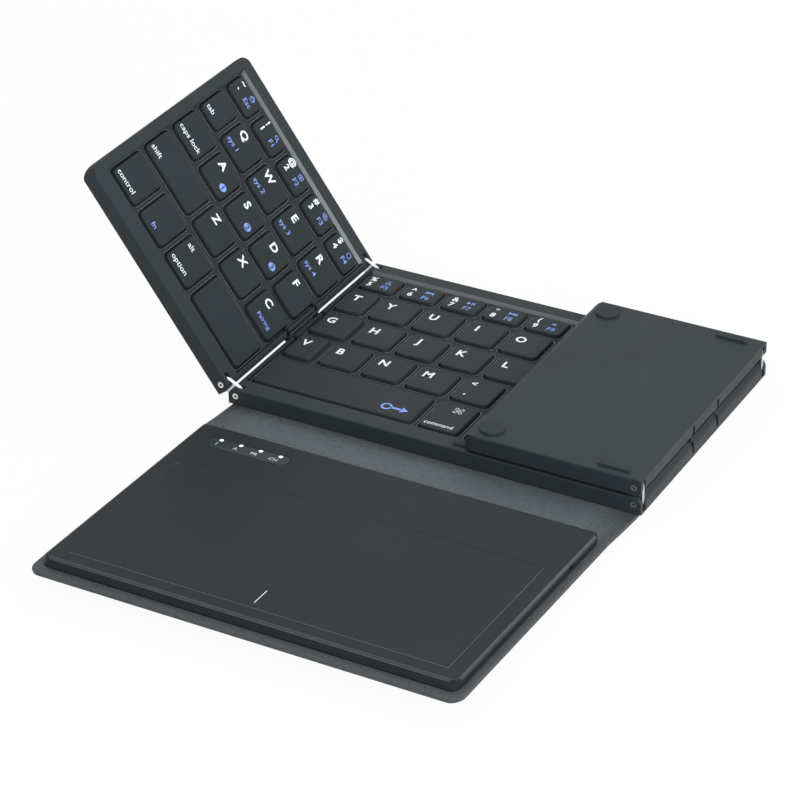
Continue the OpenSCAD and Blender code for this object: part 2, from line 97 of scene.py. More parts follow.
def wing_frame(hinge, press):
    """Frame of a wing on its back face under the pin: z is the way the keys face, y is back."""
    normal = -np.array(JOINTS[press]["axis"], float)
    origin = np.array(JOINTS[hinge]["pos_m"]) - PIN_H * normal
    return axes_frame(origin, np.cross([0, 1, 0], normal), normal)


def flap_frame():
    """Frame on the flap's cover at its fold: -y runs to the flap's front edge."""
    forward = np.array(JOINTS["switch_slide"]["axis"], float)
    normal = np.cross([1, 0, 0], -forward)
    origin = np.array(JOINTS["flap_fold"]["pos_m"]) + normal * LEATHER_T / 2
    return axes_frame(origin, [1, 0, 0], normal)


PANELS = {
    "mid": axes_frame([0, 0, LEATHER_T], [1, 0, 0], [0, 0, 1]),
    "left": wing_frame("left_wing_hinge", "left_row_1_press"),
    "right": wing_frame("right_wing_hinge", "right_row_1_press"),
}
FLAP = flap_frame()


def placed(points, place):
    """Carries points, the last axis being x, y, z, from a local frame into the row frame."""
    return points @ place[:3, :3].T + place[:3, 3]


def local_points(node, place):
    """Vertices of a CAD node in a local frame."""
    mesh = frame["nodes"][node].data
    co = np.empty(len(mesh.vertices) * 3)
    mesh.vertices.foreach_get("co", co)
    return (co.reshape(-1, 3) - place[:3, 3]) @ place[:3, :3]


def local_box(node, place):
    """Lowest and highest corner of a CAD node in a local frame."""
    points = local_points(node, place)
    return points.min(0), points.max(0)


# ---------------------------------------------------------------- keys on the frame

def runs(low, high, gap):
    """Groups intervals that lie closer than gap, and returns a group number for each."""
    order = np.argsort(low)
    reach = np.maximum.accumulate(high[order])
    starts = np.concatenate([[0], (low[order][1:] > reach[:-1] + gap).astype(int)])
    groups = np.empty(len(low), int)
    groups[order] = np.cumsum(starts)
    return groups


# Triangles that lie closer than this belong to the same key
KEY_GAP = 0.5 * MM


def key_boxes(node, place):
    """Outlines (x0, x1, y0, y1) of a node's keys in its panel's frame, left to right and
    front to back, found from the gaps between its triangles."""
    mesh = frame["nodes"][node].data
    corners = np.empty(len(mesh.loops), int)
    mesh.loops.foreach_get("vertex_index", corners)
    triangles = local_points(node, place)[corners].reshape(-1, 3, 3)
    low, high = triangles.min(1), triangles.max(1)
    boxes = []
    columns = runs(low[:, 0], high[:, 0], KEY_GAP)
    for column in range(columns.max() + 1):
        inside = columns == column
        rows = runs(low[inside, 1], high[inside, 1], KEY_GAP)
        for row in range(rows.max() + 1):
            lo, hi = low[inside][rows == row].min(0), high[inside][rows == row].max(0)
            boxes.append((lo[0], hi[0], lo[1], hi[1]))
    return boxes


KEY_NODES = ([f"mid_row_{n}" for n in range(1, 6)] + ["mid_space_bar"]
             + [f"left_row_{n}" for n in range(1, 6)] + ["left_space_bar"]
             + [f"right_row_{n}" for n in range(1, 6)])


def key_body(node):
    """Body that carries a key node."""
    return node + ("_key" if node.endswith("bar") else "_keys")


# ---------------------------------------------------------------- meshes

class Shape:
    """Collects vertices and faces, and makes them one mesh object."""

    def __init__(self):
        self.points, self.faces, self.count = [], [], 0

    def add(self, points, faces):
        """Adds faces, each a list of places in points."""
        points = np.asarray(points, float).reshape(-1, 3)
        self.faces += [[int(i) + self.count for i in face] for face in faces]
        self.points.append(points)
        self.count += len(points)

    def add_rings(self, rings, caps=True):
        """Rings is an array (rings, points, 3) of closed loops; neighbours are joined by
        quads, and the first and last loops are closed by one face each."""
        n, m = rings.shape[:2]
        i, j = np.meshgrid(np.arange(n - 1), np.arange(m), indexing="ij")
        k = (j + 1) % m
        quads = np.stack([i * m + j, i * m + k, (i + 1) * m + k, (i + 1) * m + j], -1)
        faces = quads.reshape(-1, 4).tolist()
        if caps:
            faces.append(list(range(m - 1, -1, -1)))
            faces.append(list(range((n - 1) * m, n * m)))
        self.add(rings, faces)

    def add_loop(self, rings):
        """Rings as in add_rings, but the last joins the first, as round a frame."""
        n, m = rings.shape[:2]
        i, j = np.meshgrid(np.arange(n), np.arange(m), indexing="ij")
        k, l = (j + 1) % m, (i + 1) % n
        quads = np.stack([i * m + j, i * m + k, l * m + k, l * m + j], -1)
        self.add(rings, quads.reshape(-1, 4).tolist())

    def make(self, name, place, smooth=True):
        """Makes the object, carried from its local frame; smooth keeps edges over 35 degrees
        sharp."""
        mesh = bpy.data.meshes.new(name)
        points = placed(np.concatenate(self.points), place)
        mesh.from_pydata(points.tolist(), [], self.faces)
        mesh.update()
        mesh.shade_smooth() if smooth else mesh.shade_flat()
        obj = bpy.data.objects.new(name, mesh)
        bpy.context.scene.collection.objects.link(obj)
        if smooth:
            mesh.set_sharp_from_angle(angle=math.radians(35))
        return obj


def rounded_outline(x0, x1, y0, y1, r, steps=6):
    """Closed outline of a rectangle with round corners, anticlockwise: each corner is a
    quarter circle of radius r about the point r inside both sides."""
    turn = np.linspace(0, math.pi / 2, steps)
    corners = [(x1 - r, y1 - r, 0), (x0 + r, y1 - r, 1), (x0 + r, y0 + r, 2), (x1 - r, y0 + r, 3)]
    parts = [np.stack([cx + r * np.cos(turn + q * math.pi / 2),
                       cy + r * np.sin(turn + q * math.pi / 2)], -1) for cx, cy, q in corners]
    return np.concatenate(parts)


def at_height(flat, height):
    """Points of a flat outline, all at one height."""
    return np.column_stack([flat, np.full(len(flat), height)])


def plate_rings(x0, x1, y0, y1, r, profile, steps=6):
    """Rings of a plate with round corners: profile lists (inset, height) from the bottom up,
    and at each step the outline shrinks by the inset while its corners keep their centres."""
    rings = []
    for inset, height in profile:
        flat = rounded_outline(x0 + inset, x1 - inset, y0 + inset, y1 - inset,
                               max(r - inset, 0.05 * MM), steps)
        rings.append(at_height(flat, height))
    return np.array(rings)


def fillet(r, top, steps=4):
    """Quarter-circle edge as (inset, height) pairs, from the side wall up to the top face."""
    turn = np.linspace(0, math.pi / 2, steps)
    return [(r * (1 - math.cos(t)), top - r * (1 - math.sin(t))) for t in turn]


# ---------------------------------------------------------------- materials

def linear(colour):
    """sRGB values from 0 to 1 as linear light."""
    c = np.array(colour, float)
    return tuple(np.where(c <= 0.04045, c / 12.92, ((c + 0.055) / 1.055) ** 2.4)) + (1.0,)


class Finish:
    """A material under construction, with short calls for the nodes it uses."""

    def __init__(self, name):
        self.material = bpy.data.materials.new(name)
        self.material.use_nodes = True
        self.tree = self.material.node_tree
        self.shader = self.tree.nodes["Principled BSDF"]
        self.place = self.node("ShaderNodeTexCoord").outputs["Object"]

    def node(self, kind, **settings):
        """Adds a node with some of its settings."""
        made = self.tree.nodes.new(kind)
        for key, value in settings.items():
            setattr(made, key, value)
        return made

    def link(self, source, target):
        """Joins an output to an input."""
        self.tree.links.new(source, target)

    def noise(self, scale, detail=3.0, rough=0.55, stretch=(1, 1, 1)):
        """Noise over the object's own coordinates, scale in waves per metre."""
        mapping = self.node("ShaderNodeMapping")
        mapping.inputs["Scale"].default_value = stretch
        self.link(self.place, mapping.inputs["Vector"])
        made = self.node("ShaderNodeTexNoise")
        made.inputs["Scale"].default_value = scale
        made.inputs["Detail"].default_value = detail
        made.inputs["Roughness"].default_value = rough
        self.link(mapping.outputs["Vector"], made.inputs["Vector"])
        return made.outputs["Fac"]

    def cells(self, scale):
        """Distance to the nearest border between cells, scale in cells per metre."""
        made = self.node("ShaderNodeTexVoronoi", feature="DISTANCE_TO_EDGE")
        made.inputs["Scale"].default_value = scale
        self.link(self.place, made.inputs["Vector"])
        return made.outputs["Distance"]

    def ramp(self, value, start, end, low=0.0, high=1.0):
        """Low at the start value, high at the end value, straight between and level beyond."""
        made = self.node("ShaderNodeMapRange")
        made.inputs["From Min"].default_value = start
        made.inputs["From Max"].default_value = end
        made.inputs["To Min"].default_value = low
        made.inputs["To Max"].default_value = high
        self.link(value, made.inputs["Value"])
        return made.outputs["Result"]

    def spread(self, noise, low, high):
        """Spreads the middle range of a noise over low to high."""
        return self.ramp(noise, 0.3, 0.7, low, high)

    def colour_between(self, value, dark, light):
        """Colours the surface from dark at 0 to light at 1."""
        made = self.node("ShaderNodeMix", data_type="RGBA")
        made.inputs[6].default_value = dark
        made.inputs[7].default_value = light
        self.link(value, made.inputs[0])
        self.link(made.outputs[2], self.shader.inputs["Base Color"])
        return made.outputs[2]

    def relief(self, height, depth, strength=1.0, edge=0.0):
        """Bump of a given depth in metres; edge adds a soft bevel to sharp edges."""
        bump = self.node("ShaderNodeBump")
        bump.inputs["Strength"].default_value = strength
        bump.inputs["Distance"].default_value = depth
        self.link(height, bump.inputs["Height"])
        if edge:
            bevel = self.node("ShaderNodeBevel", samples=6)
            bevel.inputs["Radius"].default_value = edge
            self.link(bevel.outputs["Normal"], bump.inputs["Normal"])
        self.link(bump.outputs["Normal"], self.shader.inputs["Normal"])


def shade(colour, factor):
    """A colour made darker or lighter by a factor."""
    return tuple(c * factor for c in colour[:3]) + (1.0,)


def plastic(name, colour, roughness, grain=2600, depth=0.00001, variation=0.06, edge=0.0,
            metallic=0.0, specular=0.09):
    """Moulded or blasted surface: fine grain in the relief, broad soft changes in colour
    and roughness."""
    base = linear(colour)
    finish = Finish(name)
    broad = finish.spread(finish.noise(35, 2), 0, 1)
    finish.colour_between(broad, shade(base, 1 - variation), shade(base, 1 + variation))
    fine = finish.noise(grain, 2, 0.6)
    finish.link(finish.spread(finish.noise(240, 3), roughness - 0.04, roughness + 0.04),
                finish.shader.inputs["Roughness"])
    finish.shader.inputs["Metallic"].default_value = metallic
    finish.shader.inputs["Specular IOR Level"].default_value = specular
    finish.relief(fine, depth, 0.6, edge)
    return finish.material


# How dark the painted shade on the leather's margins is, as a share of its own colour
MARGIN_PAINTED_SHADE = 0.62


def grained_leather(name, colour, side, front):
    """Leather: shallow cells with creases between them, over a slow mottle. Its margins are
    darkened by painted shade, from side on |x| and from front on y; each gives start and full
    depth."""
    base = linear(colour)
    finish = Finish(name)
    mottle = finish.spread(finish.noise(900, 5, 0.65), 0, 1)
    mottled = finish.colour_between(mottle, shade(base, 0.74), shade(base, 1.22))
    place = finish.node("ShaderNodeSeparateXYZ")
    finish.link(finish.place, place.inputs[0])
    across = finish.node("ShaderNodeMath", operation="ABSOLUTE")
    finish.link(place.outputs["X"], across.inputs[0])
    margin = finish.node("ShaderNodeMath", operation="MAXIMUM")
    finish.link(finish.ramp(across.outputs[0], *side), margin.inputs[0])
    finish.link(finish.ramp(place.outputs["Y"], *front), margin.inputs[1])
    # Painted shade: the margins are multiplied darker
    painted_shade = finish.node("ShaderNodeMix", data_type="RGBA", blend_type="MULTIPLY")
    painted_shade.inputs[7].default_value = shade((1, 1, 1), MARGIN_PAINTED_SHADE)
    finish.link(margin.outputs[0], painted_shade.inputs[0])
    finish.link(mottled, painted_shade.inputs[6])
    finish.link(painted_shade.outputs[2], finish.shader.inputs["Base Color"])
    finish.link(finish.spread(finish.noise(500, 3), 0.55, 0.75), finish.shader.inputs["Roughness"])
    finish.shader.inputs["Specular IOR Level"].default_value = 0.3
    creases = finish.node("ShaderNodeMath", operation="ADD")
    finish.link(finish.cells(1500), creases.inputs[0])
    finish.link(finish.noise(1400, 4, 0.7), creases.inputs[1])
    finish.relief(creases.outputs[0], 0.00012, 0.8)
    return finish.material


def drawn_steel(name, colour):
    """Bright steel with fine lines along Y."""
    base = linear(colour)
    finish = Finish(name)
    lines = finish.noise(3000, 3, 0.6, (1, 0.04, 1))
    finish.colour_between(finish.spread(lines, 0, 1), shade(base, 0.88), shade(base, 1.05))
    finish.link(finish.spread(lines, 0.16, 0.3), finish.shader.inputs["Roughness"])
    finish.shader.inputs["Metallic"].default_value = 1.0
    finish.relief(lines, 0.00001, 0.3, 0.0001)
    return finish.material


def printed_ink(name, colour):
    """Printed lettering with a faint unevenness."""
    base = linear(colour)
    finish = Finish(name)
    finish.colour_between(finish.spread(finish.noise(2500, 2), 0, 1), shade(base, 0.92), base)
    finish.shader.inputs["Roughness"].default_value = 0.5
    finish.relief(finish.noise(4000, 2), 0.00001, 0.3)
    return finish.material


def give(obj, material):
    """Makes a material the only one of an object."""
    obj.data.materials.clear()
    obj.data.materials.append(material)
    return obj


def fitted(shape, name, place, material, body, smooth=True):
    """Makes a shape an object of one material that rides a body."""
    obj = give(shape.make(name, place, smooth), material)
    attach(obj, body)
    return obj


def dress(material, *nodes):
    """Gives CAD nodes their material."""
    for node in nodes:
        give(frame["nodes"][node], material)


# ---------------------------------------------------------------- settings

class KeyboardSizes(bpy.types.PropertyGroup):
    """Sizes of the modelled surfaces"""
    key_edge: FloatProperty(name="Key edge", description="Radius of the key tops' edges",
                            default=0.28 * MM, min=0.1 * MM, max=0.8 * MM, unit="LENGTH")
    draft: FloatProperty(name="Key draft", description="How far the keys' sides draw in",
                         default=0.4 * MM, min=0, max=0.6 * MM, unit="LENGTH")
    key_corner: FloatProperty(name="Key corner", description="Radius of the keys' corners",
                              default=2 * MM, min=0.5 * MM, max=3 * MM, unit="LENGTH")
    letter: FloatProperty(name="Letter height", description="Type size of the main letters",
                          default=4.9 * MM, min=2 * MM, max=7 * MM, unit="LENGTH")
    word: FloatProperty(name="Word height", description="Type size of the key words",
                        default=3.2 * MM, min=1.5 * MM, max=4 * MM, unit="LENGTH")
    small: FloatProperty(name="Small type", description="Type size of the number row",
                         default=3.7 * MM, min=1.5 * MM, max=4 * MM, unit="LENGTH")
    ink: FloatProperty(name="Ink height", description="How far the print stands on the keys",
                       default=0.02 * MM, min=0.01 * MM, max=0.1 * MM, unit="LENGTH")
    lip: FloatProperty(name="Lip width", description="Width of the lip round each key",
                       default=0.55 * MM, min=0.2 * MM, max=0.8 * MM, unit="LENGTH")
    spine_bow: FloatProperty(name="Spine bow", description="Depth of the spine's soft sag",
                             default=0.12 * MM, min=0, max=0.5 * MM, unit="LENGTH")
    crease: FloatProperty(name="Crease width", description="Width over which the cover bends",
                          default=1.8 * MM, min=1 * MM, max=4 * MM, unit="LENGTH")


def colour_property(label, default):
    """A colour that a user can change."""
    return FloatVectorProperty(name=label, description="Colour of the " + label.lower(),
                               subtype="COLOR_GAMMA", size=3, min=0, max=1, default=default)


class KeyboardColours(bpy.types.PropertyGroup):
    """Colours of the finishes, as sRGB"""
    casing: colour_property("Casings", (0.185, 0.203, 0.215))
    deck: colour_property("Key decks", (0.165, 0.181, 0.193))
    key: colour_property("Keys", (0.158, 0.175, 0.187))
    leather: colour_property("Cover", (0.335, 0.35, 0.36))
    housing: colour_property("Flap housing", (0.13, 0.148, 0.16))
    touchpad: colour_property("Touchpad", (0.134, 0.152, 0.164))
    steel: colour_property("Hinge steel", (0.8, 0.81, 0.82))
    bridge: colour_property("Hinge bridges", (0.15, 0.16, 0.165))
    # Lighter than the decks: painted highlight on the slope behind the keys
    slope: colour_property("Back slopes", (0.25, 0.265, 0.275))
    rubber: colour_property("Feet", (0.205, 0.222, 0.233))
    silicone: colour_property("Key domes", (0.75, 0.75, 0.72))
    board: colour_property("Circuit boards", (0.1, 0.35, 0.2))
    film: colour_property("Hinge cables", (0.25, 0.17, 0.1))
    foil: colour_property("Battery foil", (0.7, 0.71, 0.72))
    switch: colour_property("Power switch", (0.1, 0.1, 0.11))
    # Lighter than the housing: painted highlight on its top edge
    bead: colour_property("Housing edge", (0.16, 0.175, 0.185))
    # Light and metallic: painted highlight along the touchpad's edge
    rim: colour_property("Touchpad rim", (0.37, 0.39, 0.405))
    window: colour_property("Status window", (0.2, 0.215, 0.225))
    window_ink: colour_property("Window print", (0.72, 0.74, 0.76))
    white_ink: colour_property("White print", (0.94, 0.95, 0.96))
    blue_ink: colour_property("Blue print", (0.5, 0.62, 0.9))


class KeyboardCamera(bpy.types.PropertyGroup):
    """Where the camera stands"""
    azimuth: FloatProperty(name="Azimuth", description="Turn from the front to the right",
                           default=math.radians(29.61), subtype="ANGLE")
    elevation: FloatProperty(name="Elevation", description="Angle above the table",
                             default=math.radians(30.95), subtype="ANGLE")
    roll: FloatProperty(name="Roll", description="Turn about the line of sight",
                        default=math.radians(-1.32), subtype="ANGLE")
    distance: FloatProperty(name="Distance", description="Distance from the aim point",
                            default=1.073, unit="LENGTH")
    aim: FloatVectorProperty(name="Aim", description="Point on the table looked at",
                             default=(-0.02706, -0.01945, 0), size=3, unit="LENGTH")
    lens: FloatProperty(name="Lens", description="Focal length on a 36 mm sensor",
                        default=143.9)


SIZES, COLOURS, CAMERA = "keyboard_sizes", "keyboard_colours", "keyboard_camera"


# ---------------------------------------------------------------- cover

# How far the stretches at a fold run past it, the radius of the flap's front corners, and the
# share of its thickness that the sheet keeps at its back edge and at its front edge
PAST_FOLD, FLAP_CORNER = 1.25 * MM, 5 * MM
BACK_SHARE, FRONT_SHARE = 0.4, 0.06
# How far in from the sheet's edges its margin of painted shade starts, and is fully dark
SIDE_MARGIN, FRONT_MARGIN = (11 * MM, 2.5 * MM), (7 * MM, 5 * MM)


def strip_rings(stations):
    """Cross-sections of a sheet: each station gives (y, half width, half thickness, rise),
    and the loop is two flat faces joined by half-round edges."""
    turn = np.linspace(-math.pi / 2, math.pi / 2, 9)
    rings = []
    for y, half, t, rise in stations:
        x = np.concatenate([half - t + t * np.cos(turn), -(half - t) - t * np.cos(turn)])
        z = np.concatenate([t * np.sin(turn), t * np.sin(turn[::-1])]) + rise
        rings.append(np.stack([x, np.full(len(x), y), z], -1))
    return np.array(rings)


def sheet_piece(name, place, stations, material):
    """A stretch of the cover from stations that run towards the front."""
    shape = Shape()
    shape.add_rings(strip_rings(stations))
    return give(shape.make(name, place), material)


def spine_place():
    """Frame of the spine about its first fold, in the middle of the sheet's thickness."""
    fold = np.array(JOINTS["spine_fold"]["pos_m"])
    along = np.array(JOINTS["flap_fold"]["pos_m"]) - fold
    length = np.linalg.norm(along)
    return axes_frame(fold, [1, 0, 0], np.cross(along / length, [1, 0, 0])), length


def past_fold(y, width):
    """How far y has gone beyond a fold at 0, rounded off by a parabola over the width."""
    near = min(max(y + width / 2, 0), width)
    return near ** 2 / (2 * width) + max(y - width / 2, 0)


class MESH_OT_cover(bpy.types.Operator):
    """Makes the cover: a sheet under the middle panel, a spine that bends at both folds and a
    flap with round corners"""
    bl_idname = "keyboard.cover"
    bl_label = "Cover"

    def execute(self, context):
        sizes = getattr(context.scene, SIZES)
        t = LEATHER_T / 2
        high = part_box("cover_base")[1]
        half = high.x
        front_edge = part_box("cover_flap")[0].y
        leather = grained_leather("leather", getattr(context.scene, COLOURS).leather,
                                  side=[half - inset for inset in SIDE_MARGIN],
                                  front=[front_edge + inset for inset in FRONT_MARGIN])
        spine, length = spine_place()
        fold_1 = np.array(JOINTS["spine_fold"]["pos_m"])
        base = sheet_piece("leather_base", axes_frame([0, 0, t], [1, 0, 0], [0, 0, 1]),
                           [(high.y, half, t * BACK_SHARE, 0), (high.y - t, half, t, 0),
                            (fold_1[1] + PAST_FOLD, half, t, 0)], leather)
        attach(base, "base")
        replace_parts(base, "cover_base")

        # Slopes of the base and of the flap as the spine sees them
        base_slope = spine[1, 2] / spine[2, 2]
        flap_slope = np.dot(FLAP[:3, 1], spine[:3, 2]) / np.dot(FLAP[:3, 1], spine[:3, 1])

        def bowed(y):
            """Height of the sheet over the spine's chord: a sag of sine squared, and the two
            folds."""
            reach = np.clip(-y / length, 0, 1)
            return (-sizes.spine_bow * math.sin(math.pi * reach) ** 2
                    + base_slope * past_fold(y, sizes.crease)
                    - flap_slope * past_fold(-length - y, sizes.crease))

        middle = -length / 2
        back = [(y, half, t, bowed(y)) for y in np.linspace(PAST_FOLD, middle, 40)]
        front = [(y, half, t, bowed(y)) for y in np.linspace(middle, -length - PAST_FOLD, 40)]
        rear = sheet_piece("leather_spine_back", spine, back, leather)
        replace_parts(rear, "cover_spine")
        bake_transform(rear)
        fore = sheet_piece("leather_spine_front", spine, front, leather)
        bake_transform(fore)
        flap_end = local_box("cover_flap", FLAP)[0][1]
        flap = self.flap_sheet(leather, half, t, -PAST_FOLD, flap_end)

        # One cut, 2 half wide, in four stretches
        return {"FINISHED"}

    def flap_sheet(self, leather, half, t, start, end):
        """The flap's sheet: near the front edge its width follows the corner's circle, and
        its thickness the half-round edge."""
        corner = FLAP_CORNER
        reach = corner * (1 - np.cos(np.linspace(0, math.pi / 2, 16)))[::-1]
        stations = [(start, half, t, 0)]
        for y in np.concatenate([[end + corner], end + reach[1:]]):
            inset = corner - math.sqrt(max(corner ** 2 - max(end + corner - y, 0) ** 2, 0))
            near = min(y - end, t)
            thick = math.sqrt(max(t * t - (t - near) ** 2, (FRONT_SHARE * t) ** 2))
            stations.append((y, half - inset, thick, 0))
        place = FLAP.copy()
        place[:3, 3] -= FLAP[:3, 2] * t
        flap = sheet_piece("leather_flap", place, stations, leather)
        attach(flap, "flap")
        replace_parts(flap, "cover_flap")
        return flap


# ---------------------------------------------------------------- casings and hinges

class MESH_OT_casings(bpy.types.Operator):
    """Finishes the three casings, their key decks, feet and what lies inside"""
    bl_idname = "keyboard.casings"
    bl_label = "Casings"

    def execute(self, context):
        colours = getattr(context.scene, COLOURS)
        panels = ("mid", "left", "right")
        shell = plastic("casing_metal", colours.casing, 0.42, edge=0.00016)
        deck = plastic("deck_plastic", colours.deck, 0.5, edge=0.00012)
        rubber = plastic("foot_rubber", colours.rubber, 0.7, grain=1500, depth=0.00003,
                         edge=0.0002)
        silicone = plastic("silicone", colours.silicone, 0.6)
        board = plastic("circuit_board", colours.board, 0.35, grain=900, variation=0.15)
        film = plastic("cable_film", colours.film, 0.3)
        dress(shell, *[p + "_case" for p in panels])
        dress(deck, *[p + "_deck" for p in panels])
        dress(silicone, *[p + "_domes" for p in panels])
        dress(board, "main_board", "touch_sensor", *[p + "_board" for p in panels])
        dress(film, "left_flex", "right_flex")
        dress(rubber, "left_feet", "right_feet", "mid_rest_pad")
        return {"FINISHED"}


# The lip round a key: its gap to the key, its height and how deep its foot is sunk
LIP_GAP, LIP_HEIGHT, LIP_FOOT = 0.32 * MM, 0.2 * MM, 0.2 * MM
# Room that a hinge bridge needs beside it on the way round: across, and along the hinge
BRIDGE_ROOM = 4 * MM, 1 * MM
# The slope behind the keys: where it starts and bends, as distances from the keys' back edge,
# the share of its climb up to that bend, its level ledge, and how its ends round off
SLOPE_START, SLOPE_BEND, BEND_SHARE = 0.9 * MM, 1.45 * MM, 0.62
LEDGE, SLOPE_FOOT, END_ROUND = 0.15 * MM, 0.1 * MM, 1.3 * MM


class MESH_OT_decks(bpy.types.Operator):
    """Makes the raised lip round each key that no hinge bridge passes, and the slope behind
    the number row"""
    bl_idname = "keyboard.decks"
    bl_label = "Deck lips and slopes"

    def execute(self, context):
        colours = getattr(context.scene, COLOURS)
        sizes = getattr(context.scene, SIZES)
        gloss = plastic("lip_plastic", colours.deck, 0.22, depth=0.000003, specular=0.4)
        # The slope's lighter colour is painted highlight; its gloss also catches the lamps
        slope_highlight = plastic("slope_plastic", colours.slope, 0.28, grain=400, depth=0.000002,
                        specular=1.0)
        for panel, body in (("mid", "base"), ("left", "left_wing"), ("right", "right_wing")):
            place = PANELS[panel]
            low, high = local_box(panel + "_deck", place)
            lips = Shape()
            sides = ("left", "right") if panel == "mid" else (panel,)
            bridges = [local_box(side + "_bridge", place) for side in sides]
            for node in KEY_NODES:
                if node.startswith(panel):
                    for box in key_boxes(node, place):
                        if not any(self.beside(box, *bridge) for bridge in bridges):
                            lips.add_loop(self.lip(box, high[2], sizes))
            fitted(lips, panel + "_key_lips", place, gloss, body)
            back = max(box[3] for box in key_boxes(panel + "_row_1", place))
            slope = Shape()
            slope.add_rings(self.slope(low[0], high[0], back, high[1], high[2]))
            fitted(slope, panel + "_back_slope", place, slope_highlight, body)
        return {"FINISHED"}

    def beside(self, box, low, high):
        """Whether a key lies next to a hinge bridge, whose path its lip would cross."""
        x0, x1, y0, y1 = box
        across, along = BRIDGE_ROOM
        return (x0 < high[0] + across and x1 > low[0] - across
                and y0 < high[1] + along and y1 > low[1] - along)

    def lip(self, box, deck, sizes):
        """Half-round lip about a key: its section is a half circle of the lip's width,
        flattened to its height, carried round the key's outline."""
        x0, x1, y0, y1 = box
        turn = np.linspace(math.pi, 0, 7)
        section = [(LIP_GAP + sizes.lip / 2 * (1 + math.cos(t)), LIP_HEIGHT * math.sin(t))
                   for t in turn]
        section = [(LIP_GAP, -LIP_FOOT), *section, (LIP_GAP + sizes.lip, -LIP_FOOT)]
        rings = [at_height(rounded_outline(x0 - out, x1 + out, y0 - out, y1 + out,
                                           sizes.key_corner + out), deck + rise)
                 for out, rise in section]
        return np.array(rings)[::-1]

    def slope(self, x0, x1, back, wall, deck):
        """Bar from x0 to x1 whose section climbs in two straight steps from the keys' back
        edge to the casing's top, and whose ends round off on a quarter circle."""
        top, foot, start = PANEL_T - MARK, deck - SLOPE_FOOT, back + SLOPE_START
        section = np.array([(start, foot), (wall, foot), (wall, top), (wall - LEDGE, top),
                            (back + SLOPE_BEND, deck + BEND_SHARE * (top - deck)),
                            (start, deck + SKIN)])
        turn = np.linspace(0, math.pi / 2, 6)
        reach, grown = END_ROUND * (1 - np.cos(turn)), 0.5 + 0.5 * np.sin(turn)
        rings = []
        for x, grow in [*zip(x0 + reach, grown), *zip((x1 - reach)[::-1], grown[::-1])]:
            end = section.copy()
            end[:, 0] = wall - (wall - end[:, 0]) * grow
            rings.append(np.column_stack([np.full(len(end), x), end]))
        return np.array(rings)


# A pin's dimple, darkened with a disc of painted shade: its radius as a share of the pin's, and
# the sides it is drawn with
DIMPLE_SHARE, DIMPLE_SIDES = 0.47, 20


class MESH_OT_hinges(bpy.types.Operator):
    """Finishes the link plates, their pins and the bridges over the cables"""
    bl_idname = "keyboard.hinges"
    bl_label = "Hinges"

    def execute(self, context):
        colours = getattr(context.scene, COLOURS)
        steel = drawn_steel("hinge_steel", colours.steel)
        dark = plastic("bridge_plastic", colours.bridge, 0.45, edge=0.0001)
        dress(steel, "mid_pins", "left_pins", "right_pins", "left_links", "right_links",
              "usb_port")
        strip = plastic("strip_plastic", colours.casing, 0.4)
        dress(dark, "left_bridge", "right_bridge")
        dress(strip, "left_bridge_cap", "right_bridge_cap")
        for node, place, body in (("mid_pins", PANELS["mid"], "base"),
                                  ("left_pins", PANELS["left"], "left_wing"),
                                  ("right_pins", PANELS["right"], "right_wing")):
            self.dimple_shades(node, place, body, dark)
        return {"FINISHED"}

    def dimple_shades(self, node, place, body, dark):
        """Dark disc at the bottom of the dimple in each pin's outer end, as painted shade in the
        hollow.
        """
        low, high = local_box(node, place)
        middle, reach = (low[0] + high[0]) / 2, max((high[0] - low[0]) / 2 - PIN_R, 0)
        discs = Shape()
        r, n = DIMPLE_SHARE * PIN_R, DIMPLE_SIDES
        turn = np.linspace(0, 2 * math.pi, n, endpoint=False)
        for x in sorted({round(middle - reach, 6), round(middle + reach, 6)}):
            for end, way in ((low[1], -1), (high[1], 1)):
                edge = np.column_stack([x - way * r * np.cos(turn), np.full(n, end - way * MARK),
                                        PIN_H + r * np.sin(turn)])
                discs.add(edge, [list(range(n))[::-1]])
        fitted(discs, body + "_pin_dimples", place, dark, body, smooth=False)


# ---------------------------------------------------------------- keys

# Height of the keys' sloped sides, and the hollow of their tops as (inset, depth)
SIDE_H = 0.95 * MM
HOLLOW = ((1.2 * MM, 0.01 * MM), (3 * MM, 0.012 * MM))


class MESH_OT_keys(bpy.types.Operator):
    """Makes the key caps: plates with round corners whose sides draw in towards a rounded top
    edge, and a slight hollow"""
    bl_idname = "keyboard.keys"
    bl_label = "Keys"

    def execute(self, context):
        sizes = getattr(context.scene, SIZES)
        cap = plastic("key_plastic", getattr(context.scene, COLOURS).key, 0.44, grain=3200,
                      specular=0.1)
        for node in KEY_NODES:
            place = PANELS[node.split("_")[0]]
            low, high = local_box(node, place)
            top = high[2]
            upper = fillet(sizes.key_edge, top) + [(inset, top - depth) for inset, depth in HOLLOW]
            profile = [(0, low[2]), (0, top - SIDE_H)]
            profile += [(sizes.draft + inset, height) for inset, height in upper]
            shape = Shape()
            for box in key_boxes(node, place):
                shape.add_rings(plate_rings(*box, sizes.key_corner, profile))
            caps = fitted(shape, node + "_caps", place, cap, key_body(node))
            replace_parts(caps, node)
        return {"FINISHED"}


# ---------------------------------------------------------------- legends

def bar(x0, y0, x1, y1):
    """A filled rectangle."""
    return [np.array([(x0, y0), (x1, y0), (x1, y1), (x0, y1)], float)]


def stroke(points, width):
    """A line through points as one quad for each stretch."""
    quads = []
    for a, b in zip(points[:-1], points[1:]):
        a, b = np.array(a, float), np.array(b, float)
        along = (b - a) / np.linalg.norm(b - a)
        side = np.array([-along[1], along[0]]) * width / 2
        a, b = a - along * width / 2, b + along * width / 2
        quads.append(np.array([a - side, b - side, b + side, a + side]))
    return quads


